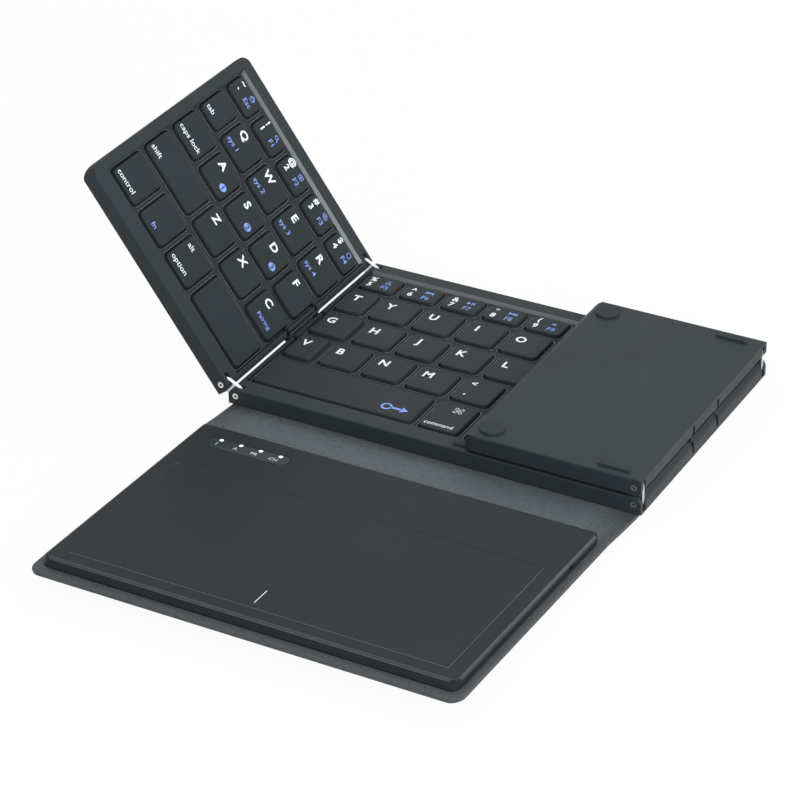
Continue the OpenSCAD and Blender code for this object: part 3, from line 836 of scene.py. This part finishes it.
def ring(x, y, r, width, steps=20):
    """A circle drawn as a line: quads between radius r - width and r."""
    turn = np.linspace(0, 2 * math.pi, steps + 1)
    outer = np.stack([x + r * np.cos(turn), y + r * np.sin(turn)], -1)
    inner = np.stack([x + (r - width) * np.cos(turn), y + (r - width) * np.sin(turn)], -1)
    return [np.array([inner[i], outer[i], outer[i + 1], inner[i + 1]]) for i in range(steps)]


def disc(x, y, r, steps=24):
    """A filled circle."""
    turn = np.linspace(0, 2 * math.pi, steps, endpoint=False)
    return [np.stack([x + r * np.cos(turn), y + r * np.sin(turn)], -1)]


def triangle(x, y, size, way=1):
    """Triangle that points along way * x, size high."""
    return [np.array([(x, y - size / 2), (x + way * size * 0.8, y), (x, y + size / 2)][::way])]


def frame_lines(x0, y0, x1, y1, width=0.22):
    """The outline of a rectangle."""
    return stroke([(x0, y0), (x1, y0), (x1, y1), (x0, y1), (x0, y0)], width)


# Pictograms about their own centre, in millimetres at a type size of 3 mm
ICON_TYPE = 3
ICONS = {
    "home": stroke([(-1, 0), (0, 1), (1, 0)], 0.24) + frame_lines(-0.7, -0.9, 0.7, 0.1),
    "search": ring(-0.2, 0.2, 0.75, 0.24) + stroke([(0.35, -0.35), (0.9, -0.9)], 0.3),
    "select": frame_lines(-0.8, -0.8, 0.8, 0.8) + bar(-0.35, -0.35, 0.35, 0.35),
    "copy": frame_lines(-0.9, -0.3, 0.4, 0.9) + frame_lines(-0.3, -0.9, 0.9, 0.4),
    "paste": frame_lines(-0.7, -0.9, 0.7, 0.7) + bar(-0.35, 0.6, 0.35, 1.0),
    "cut": ring(-0.5, -0.6, 0.4, 0.2) + ring(0.5, -0.6, 0.4, 0.2)
        + stroke([(-0.3, -0.3), (0.5, 0.9)], 0.2) + stroke([(0.3, -0.3), (-0.5, 0.9)], 0.2),
    "back": bar(-1.3, -0.7, -1.0, 0.7) + triangle(0, 0, 1.4, -1) + triangle(1.2, 0, 1.4, -1),
    "play": triangle(-1.2, 0, 1.4) + bar(0.2, -0.7, 0.5, 0.7) + bar(0.8, -0.7, 1.1, 0.7),
    "next": triangle(-1.2, 0, 1.4) + triangle(0, 0, 1.4) + bar(1.0, -0.7, 1.3, 0.7),
    "mute": bar(-1, -0.35, -0.5, 0.35) + triangle(0.2, 0, 1.5, -1),
    "softer": bar(-1, -0.35, -0.5, 0.35) + triangle(0.2, 0, 1.5, -1) + bar(0.5, -0.1, 1.1, 0.1),
    "louder": bar(-1, -0.35, -0.5, 0.35) + triangle(0.2, 0, 1.5, -1) + bar(0.5, -0.1, 1.1, 0.1)
        + bar(0.7, -0.3, 0.9, 0.3),
    "lock": frame_lines(-0.7, -0.8, 0.7, 0.1) + ring(0, 0.25, 0.5, 0.2),
    "cross": stroke([(-0.6, -0.6), (0.6, 0.6)], 0.45) + stroke([(-0.6, 0.6), (0.6, -0.6)], 0.45)
        + [disc(x, y, 0.4)[0] for x in (-0.6, 0.6) for y in (-0.6, 0.6)],
    "pointer": ring(-1.6, 0, 0.9, 0.32) + bar(-0.9, -0.24, 1.0, 0.24) + triangle(0.9, 0, 1.5),
    "left": stroke([(1, 0), (-0.8, 0)], 0.24) + triangle(-0.5, 0, 1, -1),
    "right": stroke([(-1, 0), (0.8, 0)], 0.24) + triangle(0.5, 0, 1),
    "up": [p[:, ::-1][::-1] for p in stroke([(-0.8, 0), (0.8, 0)], 0.24) + triangle(0.4, 0, 1)],
    "down": [-p[:, ::-1][::-1] for p in stroke([(-0.8, 0), (0.8, 0)], 0.24) + triangle(0.4, 0, 1)],
    "dot": disc(0, 0, 1.3),
}

_glyphs = {}


# How much the strokes of words and of single letters are thickened
WORD_WEIGHT, LETTER_WEIGHT = 0.006, 0.03


def text_outline(body, size, weight=WORD_WEIGHT):
    """Flat faces of a line of text about its middle, as (points, faces), in metres; weight is
    how far its strokes are thickened, as a share of the type size."""
    if (body, size) not in _glyphs:
        curve = bpy.data.curves.new("line_of_text", "FONT")
        curve.body, curve.size = body, size
        curve.align_x, curve.align_y = "CENTER", "CENTER"
        curve.offset = size * weight
        curve.resolution_u = 3
        holder = bpy.data.objects.new("line_of_text", curve)
        bpy.context.scene.collection.objects.link(holder)
        bpy.context.view_layer.update()
        mesh = bpy.data.meshes.new_from_object(
            holder.evaluated_get(bpy.context.evaluated_depsgraph_get()))
        co = np.empty(len(mesh.vertices) * 3)
        mesh.vertices.foreach_get("co", co)
        faces = [list(face.vertices) for face in mesh.polygons]
        bpy.data.objects.remove(holder)
        bpy.data.curves.remove(curve)
        bpy.data.meshes.remove(mesh)
        points = co.reshape(-1, 3)
        points[:, :2] -= (points[:, :2].min(0) + points[:, :2].max(0)) / 2
        _glyphs[body, size] = points, faces
    return _glyphs[body, size]


# Where a legend stands on its key: distances in millimetres from the key's left edge, or from
# its right one where negative, and from its back edge, or from its front one where negative.
# The last value is where the text is held: C by its middle, L by its left end
SPOTS = {
    "letter": (3.6, 4.3, "C"), "lower": (4.0, -4.0, "C"), "word": (1.3, -3.9, "L"),
    "front_word": (1.3, -3.2, "L"), "corner": (-6.3, 4.1, "C"), "alt": (3.5, 4.6, "C"),
    "symbol": (2.4, 2.6, "C"), "number": (2.4, 6.3, "C"), "fn_icon": (8.5, 2.9, "C"),
    "fn_word": (8.5, 6.5, "C"), "badge": (10.3, -4.9, "C"), "middle": (6.2, -3.4, "C"),
    "pad": (4.2, 5.0, "C"), "arrow": (7.1, -4.1, "C"), "bar_icon": (-8.4, -5.7, "C"),
    "upper": (4.0, 3.5, "C"), "far": (5.1, 4.3, "C"), "late_word": (4.3, -3.9, "L"),
}
# How much further right and further forward a panel's own spots lie
SHIFTED = ("letter", "far", "symbol", "number", "fn_icon", "fn_word")
SHIFTS = {"left": (0.7, -0.3), "mid": (0.8, 0.9), "right": (0, 0)}
LETTER, WORD, SMALL, TINY, SIGN = "letter", "word", "small", "tiny", "sign"
# Tiny type as a share of the word's type, and signs as a share of the letter's
TINY_SHARE, SIGN_SHARE = 0.84, 1.34


def letter_key(text, *more):
    """A letter, and what else stands on its key."""
    return [(text, "letter", LETTER, "white"), *more]


def pair_key(upper, lower):
    """Two signs, one above the other."""
    return [(upper, "upper", SMALL, "white"), (lower, "lower", SMALL, "white")]


def number_key(symbol, number, icon, label):
    """A sign over a number, and a pictogram over its label."""
    return [(symbol, "symbol", SMALL, "white"), (number, "number", SMALL, "white"),
            ("@" + icon, "fn_icon", SMALL, "blue"), (label, "fn_word", WORD, "blue")]


def word_key(text, spot="word"):
    """A key with one word."""
    return [(text, spot, WORD, "white")]


LEGENDS = {
    "left_row_1": [number_key("~", "`", "home", "Esc"), number_key("!", "1", "search", "F1"),
                   number_key("@", "2", "select", "F2"), number_key("#", "3", "copy", "F3"),
                   number_key("$", "4", "paste", "F4")],
    "left_row_2": [word_key("tab"), letter_key("Q", ("sys 1", "word", WORD, "blue")),
                   letter_key("W", ("sys 2", "word", WORD, "blue")),
                   letter_key("E", ("sys 3", "word", WORD, "blue")),
                   letter_key("R", ("sys 4", "word", WORD, "blue"))],
    "left_row_3": [word_key("caps lock"),
                   letter_key("A", ("@dot", "badge", SMALL, "blue"), ("1", "badge", WORD, "dark")),
                   letter_key("S", ("@dot", "badge", SMALL, "blue"), ("2", "badge", WORD, "dark")),
                   [("D", "far", LETTER, "white"), ("@dot", "badge", SMALL, "blue"),
                    ("3", "badge", WORD, "dark")],
                   letter_key("F")],
    "left_row_4": [word_key("shift"), letter_key("Z"), letter_key("X"),
                   letter_key("C", ("Pairing", "late_word", TINY, "blue"))],
    "left_row_5": [word_key("control", "front_word"), [("fn", "middle", WORD, "blue")],
                   [("alt", "alt", WORD, "white"), ("option", "front_word", WORD, "white")]],
    "mid_row_1": [number_key("%", "5", "cut", "F5"), number_key("^", "6", "back", "F6"),
                  number_key("&", "7", "play", "F7"), number_key("*", "8", "next", "F8"),
                  number_key("(", "9", "mute", "F9"), number_key(")", "0", "softer", "F10"),
                  number_key("_", "-", "louder", "F11"), number_key("+", "=", "lock", "F12"),
                  [("@left", "fn_icon", SMALL, "white")]],
    "mid_row_2": [letter_key(c) for c in "TYUIOP"] + [pair_key("{", "["), pair_key("}", "]"),
                                                      pair_key("|", "\\")],
    "mid_row_3": [letter_key(c) for c in "GHJKL"] + [pair_key(":", ";"), pair_key('"', "'"),
                                                     word_key("enter")],
    "mid_row_4": [letter_key(c) for c in "VBNM"] + [pair_key("<", ","), pair_key(">", "."),
                                                    pair_key("?", "/"), word_key("shift")],
    "mid_row_5": [[("@cross", "corner", LETTER, "white"),
                   ("command", "front_word", TINY, "white")],
                  [("alt", "alt", WORD, "white")], [("@left", "middle", SMALL, "white")],
                  [("@down", "arrow", SMALL, "white")], [("@up", "arrow", SMALL, "white")],
                  [("@right", "middle", SMALL, "white")]],
    "mid_space_bar": [[("@pointer", "bar_icon", SIGN, "blue")]],
}
PAD_ROWS = ["7 8 9 /", "4 5 6 *", "1 2 3 -", "0 . = +", "< > ( )"]
LEGENDS.update({f"right_row_{n + 1}": [[(c, "pad", LETTER, "white")] for c in row.split()]
                for n, row in enumerate(PAD_ROWS)})


def legend_faces(text, size):
    """Points and faces of a word, or of the pictogram named after @."""
    if text == "@" or not text.startswith("@"):
        return text_outline(text, size, LETTER_WEIGHT if len(text) == 1 else WORD_WEIGHT)
    polygons = ICONS[text[1:]]
    points = np.concatenate([at_height(p, 0) for p in polygons]) * size / ICON_TYPE
    starts = np.cumsum([0] + [len(p) for p in polygons[:-1]])
    return points, [list(range(s, s + len(p))) for s, p in zip(starts, polygons)]


def legend_place(spot, box, width, panel):
    """Middle of a legend on a key's outline."""
    x0, x1, y0, y1 = box
    across, down, hold = SPOTS[spot]
    if spot in SHIFTED:
        across, down = across + SHIFTS[panel][0], down + SHIFTS[panel][1]
    x = x0 + across * MM if across > 0 else x1 + across * MM
    y = y1 - down * MM if down > 0 else y0 - down * MM
    return x + (width / 2 if hold == "L" else 0), y


class MESH_OT_legends(bpy.types.Operator):
    """Prints plain letters, numbers and small pictograms on the keys"""
    bl_idname = "keyboard.legends"
    bl_label = "Legends"

    def execute(self, context):
        sizes = getattr(context.scene, SIZES)
        colours = getattr(context.scene, COLOURS)
        inks = {"white": printed_ink("white_print", colours.white_ink),
                "blue": printed_ink("blue_print", colours.blue_ink),
                "dark": printed_ink("dark_print", colours.key)}
        type_size = {LETTER: sizes.letter, WORD: sizes.word, SMALL: sizes.small,
                     TINY: sizes.word * TINY_SHARE, SIGN: sizes.letter * SIGN_SHARE}
        for node, keys in LEGENDS.items():
            panel = node.split("_")[0]
            place = PANELS[panel]
            top = local_box(node, place)[1][2]
            layers = {ink: Shape() for ink in inks}
            for box, legends in zip(key_boxes(node, place), keys):
                for text, spot, size, ink in legends:
                    points, faces = legend_faces(text, type_size[size])
                    x, y = legend_place(spot, box, np.ptp(points[:, 0]), panel)
                    lift = sizes.ink * (2 if ink == "dark" else 1)
                    layers[ink].add(points + [x, y, top + lift], faces)
            for ink, layer in layers.items():
                if layer.count:
                    fitted(layer, f"{node}_{ink}_print", place, inks[ink], key_body(node),
                           smooth=False)
        return {"FINISHED"}


# ---------------------------------------------------------------- flap

# The front wall's foot: how far it slopes out, and how deep its back is sunk in the wall
SKIRT_REACH, SKIRT_BACK = 0.9 * MM, 0.3 * MM
# The touchpad: play round it, its corner, its chamfer, and its step below the housing's top
PAD_PLAY, PAD_CORNER, PAD_CHAMFER, PAD_STEP = 0.05 * MM, 0.6 * MM, 0.22 * MM, 0.1 * MM
# The mark on the touchpad's front edge: place, length and width
MARK_X, MARK_Y, MARK_LEN, MARK_W = -1.2 * MM, 2.9 * MM, 7.5 * MM, 0.28 * MM
# The rim round the touchpad: width, round, how deep its feet are sunk
RIM_W, RIM_ROUND, RIM_FOOT = 0.24 * MM, 0.1 * MM, 0.4 * MM
# The window: edge radius, radius of its dots, type size of its labels and their places
WINDOW_EDGE, DOT_R, LABEL, LABEL_WEIGHT = 0.2 * MM, 0.72 * MM, 2.3 * MM, 0.02
LABEL_LEFT, LABEL_STEP, LABEL_DOWN = 0.4 * MM, 0.35 * MM, 2.5 * MM


class MESH_OT_flap(bpy.types.Operator):
    """Makes the housing's glossy edge, lighter as a painted highlight, and its sloping foot, the
    touchpad with its light rim of painted highlight and click mark, and the window with its lights"""
    bl_idname = "keyboard.flap"
    bl_label = "Touchpad flap"

    def execute(self, context):
        colours = getattr(context.scene, COLOURS)
        housing = plastic("housing_plastic", colours.housing, 0.38, grain=2200, edge=0.0006)
        dark = plastic("switch_plastic", colours.switch, 0.4)
        foil = plastic("battery_foil", colours.foil, 0.35, metallic=0.8)
        dress(housing, "flap_housing", "flap_floor")
        dress(dark, "power_switch")
        dress(foil, "battery")
        self.edge(colours)
        self.skirt(housing)
        self.touchpad(colours)
        self.window(colours)
        return {"FINISHED"}

    def edge(self, colours):
        """Glossy skin on the housing's rounded top edge, lighter than the housing as a painted
        highlight: its section is the arc of that edge from 15 to 85 degrees, a little proud, and
        it is closed below the surface."""
        low, high = local_box("flap_housing", FLAP)
        r = HOUSING_EDGE
        turn = np.radians(np.linspace(15, 85, 9))
        section = [(r * (1 - math.cos(t)), -r * (1 - math.sin(t))) for t in turn]
        proud = [(inset - MARK * math.cos(t), height + MARK * math.sin(t))
                 for (inset, height), t in zip(section, turn)]
        sunk = [(r * 0.9, -r * 0.6), (r * 0.5, -r * 0.95)]
        rings = [at_height(rounded_outline(low[0] + inset, high[0] - inset, low[1] + inset,
                                           high[1] - inset, HOUSING_CORNER - inset, 10),
                           high[2] + height)
                 for inset, height in proud + sunk]
        bead = Shape()
        bead.add_loop(np.array(rings))
        # Its lighter colour is painted highlight
        shine = plastic("bead_plastic", colours.bead, 0.25, depth=0.000003, specular=0.4)
        fitted(bead, "housing_bead", FLAP, shine, "flap")

    def skirt(self, housing):
        """Sloping foot of the front wall: it follows the outline round both front corners,
        and its reach is the square of how squarely the outline faces the front."""
        low, high = local_box("flap_housing", FLAP)
        r, steps = HOUSING_CORNER, 12
        turn = np.linspace(0, math.pi / 2, steps)
        facing = np.concatenate([np.stack([np.cos(turn), -np.sin(turn)], -1),
                                 np.stack([-np.sin(turn), -np.cos(turn)], -1)])
        middle = np.repeat([(high[0] - r, low[1] + r), (low[0] + r, low[1] + r)], steps, 0)
        reach = MARK + SKIRT_REACH * facing[:, 1:] ** 2
        wall, foot = high[2] - HOUSING_EDGE, low[2] + 0.05 * MM
        rings = [at_height(middle + facing * (r + out), height)
                 for out, height in ((SKIN, wall), (reach, foot), (-SKIRT_BACK, foot),
                                     (-SKIRT_BACK, wall))]
        skirt = Shape()
        skirt.add_rings(np.stack(rings, 1))
        fitted(skirt, "housing_skirt", FLAP, housing, "flap")

    def touchpad(self, colours):
        """Plate with a chamfer round its top, and a printed mark between its two buttons."""
        low, high = local_box("touchpad", FLAP)
        top = high[2] - PAD_STEP
        shape = Shape()
        shape.add_rings(plate_rings(low[0], high[0], low[1], high[1], PAD_CORNER, [
            (PAD_PLAY, low[2]), (PAD_PLAY, top - PAD_CHAMFER), (PAD_PLAY + PAD_CHAMFER, top),
            (2 * MM, top), (8 * MM, top)]))
        finish = plastic("touchpad_finish", colours.touchpad, 0.38, grain=3400)
        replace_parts(fitted(shape, "touchpad_plate", FLAP, finish, "flap"), "touchpad")
        left, right = MARK_X - MARK_W / 2, MARK_X + MARK_W / 2
        front, back = low[1] + MARK_Y, low[1] + MARK_Y + MARK_LEN
        corners = np.array([(left, front), (right, front), (right, back), (left, back)])
        mark = Shape()
        mark.add(at_height(corners, top + SKIN), [[0, 1, 2, 3]])
        fitted(mark, "touchpad_mark", FLAP, printed_ink("mark_print", colours.white_ink), "flap",
               smooth=False)
        self.rim(low, high, colours)

    def rim(self, low, high, colours):
        """Thin frame in the gap round the touchpad, a quarter round in section; its light,
        metallic colour is a painted highlight.
        """
        top, foot = high[2] + SKIN, high[2] - RIM_FOOT
        outer = rounded_outline(low[0] - MARK, high[0] + MARK, low[1] - MARK, high[1] + MARK,
                                PAD_CORNER + PAD_PLAY)
        turn = np.linspace(0, math.pi / 2, 4)
        section = [(RIM_W * (1 - math.cos(t)) * 0.6, top - RIM_ROUND * (1 - math.sin(t)))
                   for t in turn]
        centre = (outer.min(0) + outer.max(0)) / 2
        half = (outer.max(0) - outer.min(0)) / 2
        rings = [at_height((outer - centre) * (1 - inset / half) + centre, height)
                 for inset, height in [(0, foot), *section, (RIM_W, foot)]]
        shape = Shape()
        shape.add_loop(np.array(rings))
        # Light metallic colour as painted highlight of the groove's edge
        rim_highlight = plastic("rim_metal", colours.rim, 0.3, depth=0.000002, metallic=0.65)
        fitted(shape, "touchpad_rim", FLAP, rim_highlight, "flap")

    def window(self, colours):
        """Glossy pill over the status lights, with plain letters beside them."""
        low, high = local_box("led_window", FLAP)
        top = high[2]
        shape = Shape()
        profile = [(0, low[2]), *fillet(WINDOW_EDGE, top), (1 * MM, top)]
        shape.add_rings(plate_rings(low[0], high[0], low[1], high[1],
                                    (high[1] - low[1]) / 2 - 0.05 * MM, profile, 12))
        glass = plastic("window_gloss", colours.window, 0.12, variation=0.04)
        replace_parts(fitted(shape, "status_window", FLAP, glass, "flap"), "led_window")
        lights, labels = Shape(), Shape()
        points = local_points("status_lights", FLAP)
        groups = runs(points[:, 0], points[:, 0], 0.5 * MM)
        for n, word in enumerate(("1", "A", "PR", "CH")):
            lamp = points[groups == n]
            x, y = (lamp.min(0) + lamp.max(0))[:2] / 2
            dot = disc(x, y, DOT_R)[0]
            lights.add(at_height(dot, top + MARK), [list(range(len(dot)))])
            label, faces = text_outline(word, LABEL, LABEL_WEIGHT)
            labels.add(label + [x - LABEL_LEFT - LABEL_STEP * n, y - LABEL_DOWN, top + MARK],
                       faces)
        glow = Finish("light_white")
        glow.colour_between(glow.spread(glow.noise(900), 0, 1), linear((0.9, 0.93, 0.95)),
                            linear((1, 1, 1)))
        glow.shader.inputs["Emission Color"].default_value = linear((0.95, 0.98, 1))
        glow.shader.inputs["Emission Strength"].default_value = 0.5
        fitted(lights, "status_dots", FLAP, glow.material, "flap", smooth=False)
        ink = printed_ink("window_print", colours.window_ink)
        fitted(labels, "status_numbers", FLAP, ink, "flap", smooth=False)
        dress(glow.material, "status_lights")


# ---------------------------------------------------------------- stage

COOL_WHITE = (0.9, 0.97, 1.0)
# Half the floor's width and its drop below the object, the share of it that looks pure white,
# and the strength of the soft light from all round
FLOOR_HALF, FLOOR_DROP, FLOOR_WHITE, SOFT_STRENGTH = 6.0, 0.0004, 0.94, 0.6
# Lamps: size in metres, power in watts, place and aim
LAMPS = {
    "top_light": ((1.2, 0.8), 4.3, (-0.32, 0.65, 1.06), (0, 0, 0)),
    "right_light": ((0.5, 0.9), 7.8, (1.0, -0.1, 0.55), (0, 0, 0)),
    "side_light": ((0.5, 0.5), 4.4, (1.0, -0.9, 0.4), (-0.09, 0.03, 0.05)),
    "back_light": ((0.3, 0.3), 1.8, (0.65, 1.2, 0.85), (0, 0, 0)),
    "front_light": ((1.0, 0.5), 3.3, (-0.3, -1.2, 0.7), (0, 0, 0)),
}


def add_light(name, size, power, spot, aim):
    """Rectangular lamp of size (x, y) in metres, turned to its aim."""
    lamp = bpy.data.lights.new(name, "AREA")
    lamp.shape, lamp.size, lamp.size_y, lamp.energy = "RECTANGLE", size[0], size[1], power
    lamp.color = COOL_WHITE
    obj = bpy.data.objects.new(name, lamp)
    bpy.context.scene.collection.objects.link(obj)
    obj.location = spot
    obj.rotation_euler = (Vector(aim) - Vector(spot)).to_track_quat("-Z", "Y").to_euler()


def looked_at(tree, share=1.0):
    """Share for rays that come straight from the camera or off metal and glass, else 0."""
    path = tree.nodes.new("ShaderNodeLightPath")
    value = path.outputs["Is Camera Ray"]
    for ray in ("Is Glossy Ray", "Is Transmission Ray"):
        either = tree.nodes.new("ShaderNodeMath")
        either.operation = "MAXIMUM"
        tree.links.new(value, either.inputs[0])
        tree.links.new(path.outputs[ray], either.inputs[1])
        value = either.outputs[0]
    part = tree.nodes.new("ShaderNodeMath")
    part.operation = "MULTIPLY"
    part.inputs[1].default_value = share
    tree.links.new(value, part.inputs[0])
    return part.outputs[0]


def camera_matrix(view):
    """Camera pose from azimuth, elevation and roll about its aim."""
    a, e, r = view.azimuth, view.elevation, view.roll
    back = Vector((math.sin(a) * math.cos(e), -math.cos(a) * math.cos(e), math.sin(e)))
    right = (-back).cross(Vector((0, 0, 1))).normalized()
    up = right.cross(-back)
    x = right * math.cos(r) + up * math.sin(r)
    y = up * math.cos(r) - right * math.sin(r)
    pose = Matrix((x, y, back)).transposed().to_4x4()
    pose.translation = Vector(view.aim) + back * view.distance
    return pose


class MESH_OT_stage(bpy.types.Operator):
    """Sets the camera, the lamps, a pale floor and a white surround"""
    bl_idname = "keyboard.stage"
    bl_label = "Stage"

    def execute(self, context):
        scene = context.scene
        view = getattr(scene, CAMERA)
        lens = bpy.data.cameras.new("camera")
        lens.lens, lens.sensor_width = view.lens, 36
        lens.clip_start, lens.clip_end = 0.05, 20
        camera = bpy.data.objects.new("camera", lens)
        scene.collection.objects.link(camera)
        camera.matrix_world = camera_matrix(view)
        scene.camera = camera
        scene.view_settings.view_transform = "Standard"
        self.floor()
        self.surround()
        for name, settings in LAMPS.items():
            add_light(name, *settings)
        return {"FINISHED"}

    def floor(self):
        """A pale floor that keeps the object's shadow faintly."""
        half = FLOOR_HALF
        corners = np.array([(-half, -half), (half, -half), (half, half), (-half, half)])
        shape = Shape()
        shape.add(at_height(corners, -FLOOR_DROP), [[0, 1, 2, 3]])
        floor = shape.make("floor", np.eye(4), smooth=False)
        finish = Finish("floor_white")
        finish.colour_between(finish.spread(finish.noise(3), 0, 1), (0.84, 0.84, 0.84, 1),
                              (0.88, 0.88, 0.88, 1))
        finish.shader.inputs["Roughness"].default_value = 0.9
        finish.shader.inputs["Specular IOR Level"].default_value = 0.0
        white = finish.node("ShaderNodeEmission")
        mix = finish.node("ShaderNodeMixShader")
        finish.link(looked_at(finish.tree, FLOOR_WHITE), mix.inputs[0])
        finish.link(finish.shader.outputs[0], mix.inputs[1])
        finish.link(white.outputs[0], mix.inputs[2])
        output = finish.tree.nodes["Material Output"]
        finish.link(mix.outputs[0], output.inputs["Surface"])
        give(floor, finish.material)

    def surround(self):
        """A white surround, and soft light from all round."""
        world = bpy.data.worlds.new("surround")
        bpy.context.scene.world = world
        world.use_nodes = True
        tree = world.node_tree
        tree.nodes.clear()
        output = tree.nodes.new("ShaderNodeOutputWorld")
        soft = tree.nodes.new("ShaderNodeBackground")
        white = tree.nodes.new("ShaderNodeBackground")
        soft.inputs["Strength"].default_value = SOFT_STRENGTH
        white.inputs["Strength"].default_value = 1.0
        soft.inputs["Color"].default_value = COOL_WHITE + (1,)
        white.inputs["Color"].default_value = (1, 1, 1, 1)
        mix = tree.nodes.new("ShaderNodeMixShader")
        tree.links.new(looked_at(tree), mix.inputs[0])
        tree.links.new(soft.outputs[0], mix.inputs[1])
        tree.links.new(white.outputs[0], mix.inputs[2])
        tree.links.new(mix.outputs[0], output.inputs["Surface"])


# ---------------------------------------------------------------- panel and run

OPERATORS = (MESH_OT_cover, MESH_OT_casings, MESH_OT_decks, MESH_OT_hinges, MESH_OT_keys,
             MESH_OT_legends, MESH_OT_flap, MESH_OT_stage)


class VIEW3D_PT_keyboard(bpy.types.Panel):
    """Lists the keyboard's pieces and settings"""
    bl_label = "Keyboard"
    bl_idname = "VIEW3D_PT_keyboard"
    bl_space_type = "VIEW_3D"
    bl_region_type = "UI"
    bl_category = "Keyboard"

    def draw(self, context):
        for operator in OPERATORS:
            self.layout.operator(operator.bl_idname)
        for group in (SIZES, COLOURS, CAMERA):
            settings = getattr(context.scene, group)
            for name in settings.__annotations__:
                self.layout.prop(settings, name)


GROUPS = {SIZES: KeyboardSizes, COLOURS: KeyboardColours, CAMERA: KeyboardCamera}


def register():
    for kind in (*GROUPS.values(), *OPERATORS, VIEW3D_PT_keyboard):
        bpy.utils.register_class(kind)
    for name, kind in GROUPS.items():
        setattr(bpy.types.Scene, name, PointerProperty(type=kind))


def unregister():
    for name in GROUPS:
        delattr(bpy.types.Scene, name)
    for kind in (VIEW3D_PT_keyboard, *reversed(OPERATORS), *GROUPS.values()):
        bpy.utils.unregister_class(kind)


def main():
    """Registers the add-on and makes every piece."""
    register()
    for operator in OPERATORS:
        group, name = operator.bl_idname.split(".")
        getattr(getattr(bpy.ops, group), name)()


if __name__ == "__main__":
    main()
